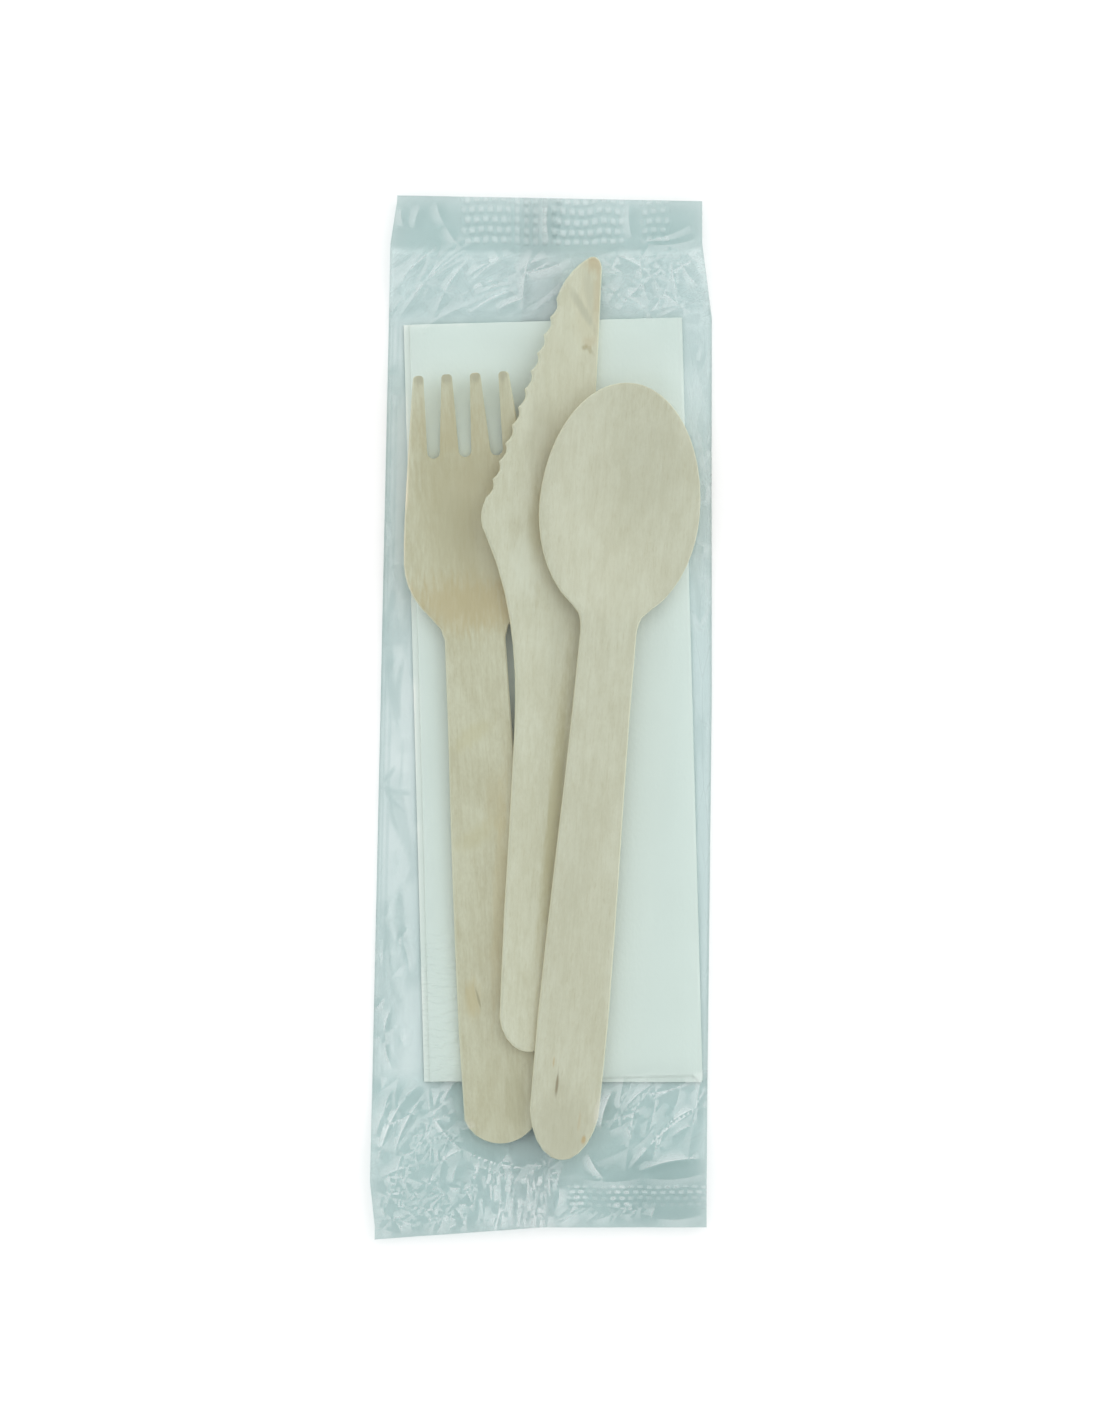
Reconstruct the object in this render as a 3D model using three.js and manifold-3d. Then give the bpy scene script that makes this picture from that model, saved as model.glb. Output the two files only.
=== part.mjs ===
// A wrapped set of wooden cutlery: a fork, a knife, a spoon and a folded napkin in a clear film pack.
// Millimetres, +Z up. The pack lies on its back with the handles towards -Y.
// The origin is on the surface it lies on, under the middle of the film.
import * as THREE from 'three';
import { mergeVertices } from 'three/addons/utils/BufferGeometryUtils.js';
import Module from 'manifold-3d';

// Birch veneer that the cutlery is cut from
const VENEER = 1.5;
const EDGE_CHAMFER = 0.3;
const REST_GAP = 0.3;

// Fork, along its own axis from the handle end to the tine tips
const FORK_LENGTH = 158.5;
const FORK_END_RUN = 7;
const FORK_HANDLE_WIDTH = 15.6;
const FORK_NECK_WIDTH = 12.5;
const FORK_HEAD_LENGTH = 54.5;
const FORK_SHOULDER_RUN = 16;
const FORK_TAPER_RUN = 6;
const FORK_HEAD_WIDTH = 27.6;
const FORK_TIPS_WIDTH = 19.8;
const FORK_TINES = 4;
const FORK_TINE_LENGTH = 17.1;
const FORK_TINE_WIDTH = 2.2;
const FORK_TINE_FLAT = 0.6;
const FORK_SLOT_WIDTH = 2.6;
const FORK_SLOT_PITCH = 6.5;
const FORK_DIP = 2.4;
const FORK_CUP = 0.6;
const FORK_X = -7.9;
const FORK_Y = -87.4;
const FORK_TURN = 3.1;

// Knife, along its own axis from the handle end to the tip, cutting edge on the -X side
const KNIFE_LENGTH = 164;
const KNIFE_END_RUN = 9;
const KNIFE_HANDLE_WIDTH = 12.9;
const KNIFE_WAIST = 6.1;
const KNIFE_GRIP_LENGTH = 66;
const KNIFE_BELLY = 15.3;
const KNIFE_BELLY_AT = 109;
const KNIFE_BELLY_ROUND_RUN = 3.4;
const KNIFE_BELLY_ROUND_DEPTH = 1.1;
const KNIFE_EDGE_START = 113.3;
const KNIFE_EDGE_END = 154.8;
const KNIFE_EDGE_RISE = 1.75;
const KNIFE_TEETH = 11;
const KNIFE_TOOTH_DEPTH = 0.8;
const KNIFE_SPINE = 7.4;
const KNIFE_TIP_OFFSET = 5.2;
const KNIFE_TIP_RUN = 3.1;
const KNIFE_X = -2.9;
const KNIFE_Y = -68.5;
const KNIFE_TURN = -2.86;

// Spoon, along its own axis from the handle end to the bowl tip
const SPOON_LENGTH = 160.3;
const SPOON_END_RUN = 13;
const SPOON_HANDLE_WIDTH = 14.8;
const SPOON_NECK_WIDTH = 11.6;
const SPOON_NECK_FILLET = 4;
const SPOON_BOWL_WIDTH = 33.4;
const SPOON_BOWL_FRONT = 26;
const SPOON_BOWL_BACK = 23.3;
const SPOON_BOWL_DEPTH = 3.2;
const SPOON_X = 3.75;
const SPOON_Y = -90.7;
const SPOON_TURN = -5.19;

// Napkin: one sheet of tissue folded to a pad of four double leaves
const NAPKIN_WIDTH = 57.4;
const NAPKIN_LENGTH = 156;
const NAPKIN_LEAF = 0.35;
const NAPKIN_LEAF_GAP = 0.08;
const NAPKIN_STEP = 1.2;
const NAPKIN_X = 2.5;
const NAPKIN_Y = 3.9;
const NAPKIN_TURN = 1.55;

// Film: a flat tube with a fin seal on its back and a crimped seal at each end
const FILM_WALL = 0.04;
const FILM_CLEARANCE = 0.3;
const FILM_SLOPE = 0.8;
const FILM_LAYER_GAP = 0.03;
const FILM_LEFT_ROOM = 6.9;
const FILM_RIGHT_ROOM = 1.9;
const FILM_LEFT_LEAN = 4.2;
const FILM_HEAD_DRAW = 2;
const FILM_FOOT_DRAW = 1.1;
const FILM_SIDE_BULGE = 0.3;
const FIN_X = 4;
const FIN_WIDTH = 9;
const FIN_RAMP = 1;
const HEAD_ROOM = 2.8;
const HEAD_CRIMP = 8.8;
const HEAD_SLANT = 1.2;
const FOOT_ROOM = 4.9;
const FOOT_CRIMP = 9.4;
const FOOT_SLANT = 2.5;
const CRIMP_PITCH = 1.6;
const CRIMP_WAVE = 0.25;
const CRIMP_LIFT = 2;
const CRIMP_COVER = 0.02;
const CREASE_HEIGHT = 1.3;
const CREASE_HALF_WIDTH = 4;

// How finely round and formed shapes are divided
const GRID = 1;
const FILM_COLUMNS = 22;
const FILM_MIDDLE_ROWS = 24;
const FILM_END_ROWS = 8;
const CRIMP_COLUMNS = 4;
const STEEPEST_REST = 0.4;

const wasm = await Module();
wasm.setup();

// Closed sheet solid: each section is a row of [outer, inner] point pairs across the sheet.
// Rows run along +Y, and the outer points lie on the left of the direction of the row.
// Both faces are split along the same diagonals, so that a thin wall keeps its thickness where it twists.
function sheet(sections) {
  const rows = sections.length;
  const nodes = sections[0].length;
  const positions = sections.flatMap((section) => section.flatMap(([outer, inner]) => [...outer, ...inner]));
  const outer = (row, node) => 2 * (row * nodes + node);
  const inner = (row, node) => outer(row, node) + 1;
  const index = [];
  const quad = (a, b, c, d) => index.push(a, b, c, a, c, d);
  for (let row = 0; row < rows - 1; row++) {
    for (let node = 0; node < nodes - 1; node++) {
      quad(outer(row, node), outer(row, node + 1), outer(row + 1, node + 1), outer(row + 1, node));
      quad(inner(row, node), inner(row + 1, node), inner(row + 1, node + 1), inner(row, node + 1));
    }
    const last = nodes - 1;
    quad(inner(row, 0), outer(row, 0), outer(row + 1, 0), inner(row + 1, 0));
    quad(outer(row, last), inner(row, last), inner(row + 1, last), outer(row + 1, last));
  }
  for (let node = 0; node < nodes - 1; node++) {
    const end = rows - 1;
    quad(inner(0, node), inner(0, node + 1), outer(0, node + 1), outer(0, node));
    quad(outer(end, node), outer(end, node + 1), inner(end, node + 1), inner(end, node));
  }
  const geometry = new THREE.BufferGeometry();
  geometry.setAttribute('position', new THREE.Float32BufferAttribute(positions, 3));
  geometry.setIndex(index);
  return geometry;
}

function toSolid(geometry) {
  const plain = geometry.clone();
  plain.deleteAttribute('normal');
  plain.deleteAttribute('uv');
  const merged = mergeVertices(plain);
  const vertProperties = new Float32Array(merged.attributes.position.array);
  const triVerts = new Uint32Array(merged.index.array);
  return new wasm.Manifold(new wasm.Mesh({ numProp: 3, vertProperties, triVerts }));
}

function toGeometry(solid) {
  const mesh = solid.getMesh();
  const geometry = new THREE.BufferGeometry();
  geometry.setAttribute('position', new THREE.Float32BufferAttribute(mesh.vertProperties, 3));
  geometry.setIndex([...mesh.triVerts]);
  return geometry;
}

// Even steps after a start, up to and including an end
const spread = (from, to, steps) => {
  return Array.from({ length: steps }, (_, k) => from + ((to - from) * (k + 1)) / steps);
};
const quarter = (steps) => spread(0, Math.PI / 2, steps).slice(0, -1);
const roundStart = (run, steps) => quarter(steps).map((angle) => run * (1 - Math.cos(angle)));
const roundEnd = (end, run, steps) => quarter(steps).map((angle) => end - run + run * Math.sin(angle));

// One side of a blank: a path of (distance along the axis, offset from it) read as a function.
function sideOf(path) {
  const points = path.getPoints(24);
  return (along) => {
    const next = points.findIndex((point) => point.x >= along);
    if (next <= 0) return points[next === 0 ? 0 : points.length - 1].y;
    const [a, b] = [points[next - 1], points[next]];
    return a.y + ((b.y - a.y) * (along - a.x)) / (b.x - a.x);
  };
}

const mirrored = (side) => (along) => -side(along);

// Curve from the end of a path to a point, leaving and arriving along the axis.
// leave and arrive are the shares of its length over which it keeps to the axis at each end.
function ease(path, along, offset, { leave, arrive }) {
  const start = path.currentPoint.clone();
  const run = along - start.x;
  path.bezierCurveTo(start.x + run * leave, start.y, along - run * arrive, offset, along, offset);
}

// Veneer blank between two sides, pressed to a height and with its edges broken all round.
function blank(leftOf, rightOf, pressOf, stations, columns) {
  const sections = stations.map((along) => {
    const left = leftOf(along);
    const right = rightOf(along);
    const chamfer = Math.min(EDGE_CHAMFER, (right - left) / 4);
    const pair = (across, half) => {
      const middle = pressOf(along, across);
      return [[across, along, middle + half], [across, along, middle - half]];
    };
    const faceStart = left + chamfer;
    const faceEnd = right - chamfer;
    const face = [faceStart, ...spread(faceStart, faceEnd, columns)];
    const edgeHalf = VENEER / 2 - chamfer;
    const faces = face.map((across) => pair(across, VENEER / 2));
    return [pair(left, edgeHalf), ...faces, pair(right, edgeHalf)];
  });
  return sheet(sections);
}

// Fork: a dished head, with the slots between the tines cut through
function forkGeometry() {
  const neck = FORK_LENGTH - FORK_HEAD_LENGTH;
  const widest = neck + FORK_SHOULDER_RUN;
  const handleHalf = FORK_HANDLE_WIDTH / 2;
  const neckHalf = FORK_NECK_WIDTH / 2;
  const headHalf = FORK_HEAD_WIDTH / 2;
  const tipsHalf = FORK_TIPS_WIDTH / 2;
  const tipRadius = (FORK_TINE_WIDTH - FORK_TINE_FLAT) / 2;
  const tipStart = FORK_LENGTH - tipRadius;
  const taperStart = widest + FORK_TAPER_RUN;
  const path = new THREE.Path();
  path.absellipse(FORK_END_RUN, 0, FORK_END_RUN, handleHalf, Math.PI, Math.PI / 2, true);
  ease(path, neck, neckHalf, { leave: 0.55, arrive: 0.2 });
  ease(path, widest, headHalf, { leave: 0.28, arrive: 0.62 });
  path.quadraticCurveTo(taperStart, headHalf, tipStart, tipsHalf);
  path.absarc(tipStart, tipsHalf - tipRadius, tipRadius, Math.PI / 2, 0, true);
  const side = sideOf(path);

  const press = (along, across) => {
    const share = Math.max(0, (along - neck) / FORK_HEAD_LENGTH);
    const cup = FORK_CUP * (across / headHalf) ** 2;
    return -(FORK_DIP - cup) * Math.sin(Math.PI * share);
  };
  const stations = [
    ...roundStart(FORK_END_RUN, 6),
    ...spread(FORK_END_RUN, neck, 6),
    ...spread(neck, widest, 7),
    ...spread(widest, tipStart, 9),
    ...roundEnd(FORK_LENGTH, tipRadius, 3),
    FORK_LENGTH,
  ];
  let solid = toSolid(blank(mirrored(side), side, press, stations, 8));

  const tinePitch = (FORK_TIPS_WIDTH - FORK_TINE_WIDTH) / (FORK_TINES - 1);
  const slotRadius = FORK_SLOT_WIDTH / 2;
  const slotRoot = FORK_LENGTH - FORK_TINE_LENGTH + slotRadius;
  const reach = FORK_DIP + 2 * VENEER;
  for (let slot = 0; slot < FORK_TINES - 1; slot++) {
    const step = slot - (FORK_TINES - 2) / 2;
    const root = step * FORK_SLOT_PITCH;
    const leftTip = (step - 0.5) * tinePitch + FORK_TINE_FLAT / 2;
    const rightTip = (step + 0.5) * tinePitch - FORK_TINE_FLAT / 2;
    const shape = new THREE.Shape();
    shape.moveTo(leftTip, FORK_LENGTH + reach);
    shape.lineTo(leftTip, FORK_LENGTH);
    shape.absarc(leftTip, tipStart, tipRadius, Math.PI / 2, 0, true);
    shape.absarc(root, slotRoot, slotRadius, Math.PI, 2 * Math.PI, false);
    shape.absarc(rightTip, tipStart, tipRadius, Math.PI, Math.PI / 2, true);
    shape.lineTo(rightTip, FORK_LENGTH + reach);
    const through = { depth: 2 * reach, bevelEnabled: false, curveSegments: 5 };
    const cutter = new THREE.ExtrudeGeometry(shape, through).translate(0, 0, -reach);
    solid = solid.subtract(toSolid(cutter));
  }
  return toGeometry(solid);
}

// Knife: flat, with a row of scallops along the cutting edge
function knifeGeometry() {
  const handleHalf = KNIFE_HANDLE_WIDTH / 2;
  const edgeOffset = -KNIFE_BELLY + KNIFE_TOOTH_DEPTH;
  const swellAt = KNIFE_BELLY_AT - KNIFE_BELLY_ROUND_RUN;
  const swell = -KNIFE_BELLY + KNIFE_BELLY_ROUND_DEPTH;
  const swellMiddle = new THREE.Vector2(
    THREE.MathUtils.lerp(KNIFE_GRIP_LENGTH, swellAt, 0.8),
    (swell - KNIFE_WAIST) / 2,
  );
  const waistEnd = (KNIFE_GRIP_LENGTH + swellAt) / 2;
  const cutting = new THREE.Path();
  cutting.absellipse(KNIFE_END_RUN, 0, KNIFE_END_RUN, handleHalf, Math.PI, 1.5 * Math.PI, false);
  ease(cutting, KNIFE_GRIP_LENGTH, -KNIFE_WAIST, { leave: 0.5, arrive: 0.5 });
  cutting.bezierCurveTo(waistEnd, -KNIFE_WAIST, swellMiddle.x, swellMiddle.y, swellAt, swell);
  const bellyCorner = -KNIFE_BELLY - KNIFE_BELLY_ROUND_DEPTH;
  cutting.quadraticCurveTo(KNIFE_BELLY_AT, bellyCorner, KNIFE_EDGE_START, edgeOffset);
  cutting.lineTo(KNIFE_EDGE_END, -KNIFE_EDGE_RISE);
  cutting.quadraticCurveTo(KNIFE_LENGTH - KNIFE_TIP_RUN, 0, KNIFE_LENGTH, KNIFE_TIP_OFFSET);
  const plainEdge = sideOf(cutting);
  const toothPitch = (KNIFE_EDGE_END - KNIFE_EDGE_START) / KNIFE_TEETH;
  const edge = (along) => {
    const toothed = along > KNIFE_EDGE_START && along < KNIFE_EDGE_END;
    const phase = (along - KNIFE_EDGE_START) / toothPitch;
    return plainEdge(along) + (toothed ? KNIFE_TOOTH_DEPTH * Math.abs(Math.sin(Math.PI * phase)) : 0);
  };

  const spinePath = new THREE.Path();
  spinePath.absellipse(KNIFE_END_RUN, 0, KNIFE_END_RUN, handleHalf, Math.PI, Math.PI / 2, true);
  spinePath.lineTo(KNIFE_GRIP_LENGTH, handleHalf);
  ease(spinePath, KNIFE_BELLY_AT, KNIFE_SPINE, { leave: 0.5, arrive: 0.5 });
  spinePath.lineTo(KNIFE_LENGTH - KNIFE_TIP_RUN, KNIFE_SPINE);
  spinePath.quadraticCurveTo(KNIFE_LENGTH, KNIFE_SPINE, KNIFE_LENGTH, KNIFE_TIP_OFFSET);
  const spine = sideOf(spinePath);

  const stations = [
    ...roundStart(KNIFE_END_RUN, 6),
    ...spread(KNIFE_END_RUN, KNIFE_GRIP_LENGTH, 3),
    ...spread(KNIFE_GRIP_LENGTH, swellAt, 7),
    ...spread(swellAt, KNIFE_EDGE_START, 5),
    ...spread(KNIFE_EDGE_START, KNIFE_EDGE_END, 4 * KNIFE_TEETH),
    ...spread(KNIFE_EDGE_END, KNIFE_LENGTH - KNIFE_TIP_RUN, 3),
    ...roundEnd(KNIFE_LENGTH, KNIFE_TIP_RUN, 5),
  ];
  return blank(edge, spine, () => 0, stations, 1);
}

// Spoon: an oval bowl pressed below the plane of the handle
function spoonGeometry() {
  const handleHalf = SPOON_HANDLE_WIDTH / 2;
  const neckHalf = SPOON_NECK_WIDTH / 2;
  const bowlHalf = SPOON_BOWL_WIDTH / 2;
  const bowlAt = SPOON_LENGTH - SPOON_BOWL_FRONT;
  const backAngle = (half) => Math.PI - Math.asin(half / bowlHalf);
  const neckCorner = bowlAt + SPOON_BOWL_BACK * Math.cos(backAngle(neckHalf));
  const neck = neckCorner - SPOON_NECK_FILLET;
  const bowlStart = backAngle(neckHalf + SPOON_NECK_FILLET / 2);
  const path = new THREE.Path();
  path.absellipse(SPOON_END_RUN, 0, SPOON_END_RUN, handleHalf, Math.PI, Math.PI / 2, true);
  ease(path, neck, neckHalf, { leave: 0.4, arrive: 0.3 });
  const filletEnd = bowlAt + SPOON_BOWL_BACK * Math.cos(bowlStart);
  path.quadraticCurveTo(neckCorner, neckHalf, filletEnd, bowlHalf * Math.sin(bowlStart));
  path.absellipse(bowlAt, 0, SPOON_BOWL_BACK, bowlHalf, bowlStart, Math.PI / 2, true);
  path.absellipse(bowlAt, 0, SPOON_BOWL_FRONT, bowlHalf, Math.PI / 2, 0, true);
  const side = sideOf(path);

  const press = (along, across) => {
    const run = along > bowlAt ? SPOON_BOWL_FRONT : SPOON_BOWL_BACK;
    const inside = 1 - ((along - bowlAt) / run) ** 2 - (across / bowlHalf) ** 2;
    const rimEase = 1.3;
    return -SPOON_BOWL_DEPTH * Math.max(0, inside) ** rimEase;
  };
  const stations = [
    ...roundStart(SPOON_END_RUN, 6),
    ...spread(SPOON_END_RUN, neck, 6),
    ...spread(neck, filletEnd, 4),
    ...spread(filletEnd, bowlAt, 8),
    ...roundEnd(SPOON_LENGTH, SPOON_BOWL_FRONT, 12),
  ];
  return blank(mirrored(side), side, press, stations, 8);
}

// Napkin: the folded section, lowest leaf first, drawn along its length
function napkinGeometry() {
  const pitch = NAPKIN_LEAF + NAPKIN_LEAF_GAP;
  const half = NAPKIN_WIDTH / 2;
  const leafHalf = NAPKIN_LEAF / 2;
  const leafAt = (leaf) => leafHalf + leaf * pitch;
  const outerFold = 1.5 * pitch;
  const innerFold = 0.5 * pitch;
  const rightFold = half - outerFold - leafHalf;
  const leftFold = NAPKIN_STEP + innerFold + leafHalf - half;
  const bend = (x, z, radius, from, to) => {
    const turn = Math.sign(to - from);
    const at = (angle, r) => [x + r * Math.cos(angle), z + r * Math.sin(angle)];
    return [from, ...spread(from, to, 6)].map((angle) => [
      at(angle, radius - turn * leafHalf),
      at(angle, radius + turn * leafHalf),
    ]);
  };
  const quarterTurn = Math.PI / 2;
  const profile = [
    [[-half, leafAt(0) + leafHalf], [-half, leafAt(0) - leafHalf]],
    ...bend(rightFold, leafAt(1.5), outerFold, -quarterTurn, quarterTurn),
    ...bend(leftFold, leafAt(2.5), innerFold, quarterTurn, 3 * quarterTurn),
    ...bend(rightFold, leafAt(1.5), innerFold, quarterTurn, -quarterTurn),
    [[-half, leafAt(1) - leafHalf], [-half, leafAt(1) + leafHalf]],
  ];
  const ends = [-NAPKIN_LENGTH / 2, NAPKIN_LENGTH / 2];
  return sheet(ends.map((along) => profile.map((pair) => pair.map(([x, z]) => [x, along, z]))));
}

const material = (color, roughness, options = {}) =>
  new THREE.MeshStandardMaterial({ color, roughness, metalness: 0, ...options });

function piece(name, geometry, finish, x, y, turn) {
  const mesh = new THREE.Mesh(geometry, finish);
  mesh.name = name;
  mesh.position.set(x, y, 0);
  mesh.rotation.z = THREE.MathUtils.degToRad(turn);
  return mesh;
}

// Height of placed pieces over a square grid: keep is Math.max for their tops, Math.min for their undersides.
function heightMap(meshes, keep) {
  const map = new Map();
  const corners = [new THREE.Vector3(), new THREE.Vector3(), new THREE.Vector3()];
  for (const mesh of meshes) {
    mesh.updateMatrixWorld();
    const { index, attributes } = mesh.geometry;
    for (let start = 0; start < index.count; start += 3) {
      corners.forEach((corner, k) => {
        corner.fromBufferAttribute(attributes.position, index.getX(start + k)).applyMatrix4(mesh.matrixWorld);
      });
      const [a, b, c] = corners;
      const area = (b.x - a.x) * (c.y - a.y) - (c.x - a.x) * (b.y - a.y);
      if (Math.abs(area) < 1e-9) continue;
      const low = new THREE.Vector3().copy(a).min(b).min(c);
      const high = new THREE.Vector3().copy(a).max(b).max(c);
      for (let i = Math.ceil(low.x / GRID); i <= high.x / GRID; i++) {
        for (let j = Math.ceil(low.y / GRID); j <= high.y / GRID; j++) {
          const x = i * GRID;
          const y = j * GRID;
          const shareB = ((x - a.x) * (c.y - a.y) - (c.x - a.x) * (y - a.y)) / area;
          const shareC = ((b.x - a.x) * (y - a.y) - (x - a.x) * (b.y - a.y)) / area;
          if (shareB < 0 || shareC < 0 || shareB + shareC > 1) continue;
          const z = a.z + shareB * (b.z - a.z) + shareC * (c.z - a.z);
          const key = `${i},${j}`;
          const seen = map.get(key);
          map.set(key, { x, y, z: seen ? keep(seen.z, z) : z });
        }
      }
    }
  }
  return map;
}

// Lowest point of a function with one valley, by thirds.
function valley(low, high, height) {
  for (let step = 0; step < 24; step++) {
    const third = (high - low) / 3;
    if (height(low + third) < height(high - third)) high -= third;
    else low += third;
  }
  return (low + high) / 2;
}

// Lays a piece down on what is below it: it tilts and drops until three points carry it.
function settle(mesh, below, floor) {
  const support = heightMap(below, Math.max);
  for (let round = 0; round < 3; round++) {
    const under = [...heightMap([mesh], Math.min)];
    const centre = new THREE.Vector3();
    under.forEach(([, point]) => centre.add(point));
    centre.divideScalar(under.length);
    const needs = under.map(([key, { x, y, z }]) => ({
      x: x - centre.x,
      y: y - centre.y,
      need: (support.get(key)?.z ?? floor) + REST_GAP - z,
    }));
    const lift = (a, b) => needs.reduce((most, p) => Math.max(most, p.need - a * p.x - b * p.y), -Infinity);
    const bestB = (a) => valley(-STEEPEST_REST, STEEPEST_REST, (b) => lift(a, b));
    const a = valley(-STEEPEST_REST, STEEPEST_REST, (slope) => lift(slope, bestB(slope)));
    const b = bestB(a);
    const tilt = new THREE.Quaternion().setFromUnitVectors(
      new THREE.Vector3(0, 0, 1),
      new THREE.Vector3(-a, -b, 1).normalize(),
    );
    mesh.quaternion.premultiply(tilt);
    mesh.position.sub(centre).applyQuaternion(tilt).add(centre);
    mesh.position.z += lift(a, b);
  }
}

const finTop = 3 * FILM_WALL + 2 * FILM_LAYER_GAP;
const tissue = material(0xf4f4ee, 0.95);
const darkBirch = material(0xd8cba6, 0.75);
const paleBirch = material(0xdfd6bb, 0.75);
const warmBirch = material(0xddd3b4, 0.75);

// The pad lies on the film, and each piece of cutlery lies on what went in before it
const napkin = piece('napkin', napkinGeometry(), tissue, NAPKIN_X, NAPKIN_Y, NAPKIN_TURN);
napkin.position.z = finTop + REST_GAP;
const fork = piece('fork', forkGeometry(), darkBirch, FORK_X, FORK_Y, FORK_TURN);
settle(fork, [napkin], finTop);
const knife = piece('knife', knifeGeometry(), paleBirch, KNIFE_X, KNIFE_Y, KNIFE_TURN);
settle(knife, [napkin, fork], finTop);
const spoon = piece('spoon', spoonGeometry(), warmBirch, SPOON_X, SPOON_Y, SPOON_TURN);
settle(spoon, [napkin, fork, knife], finTop);
const contents = [napkin, fork, knife, spoon];

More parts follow.
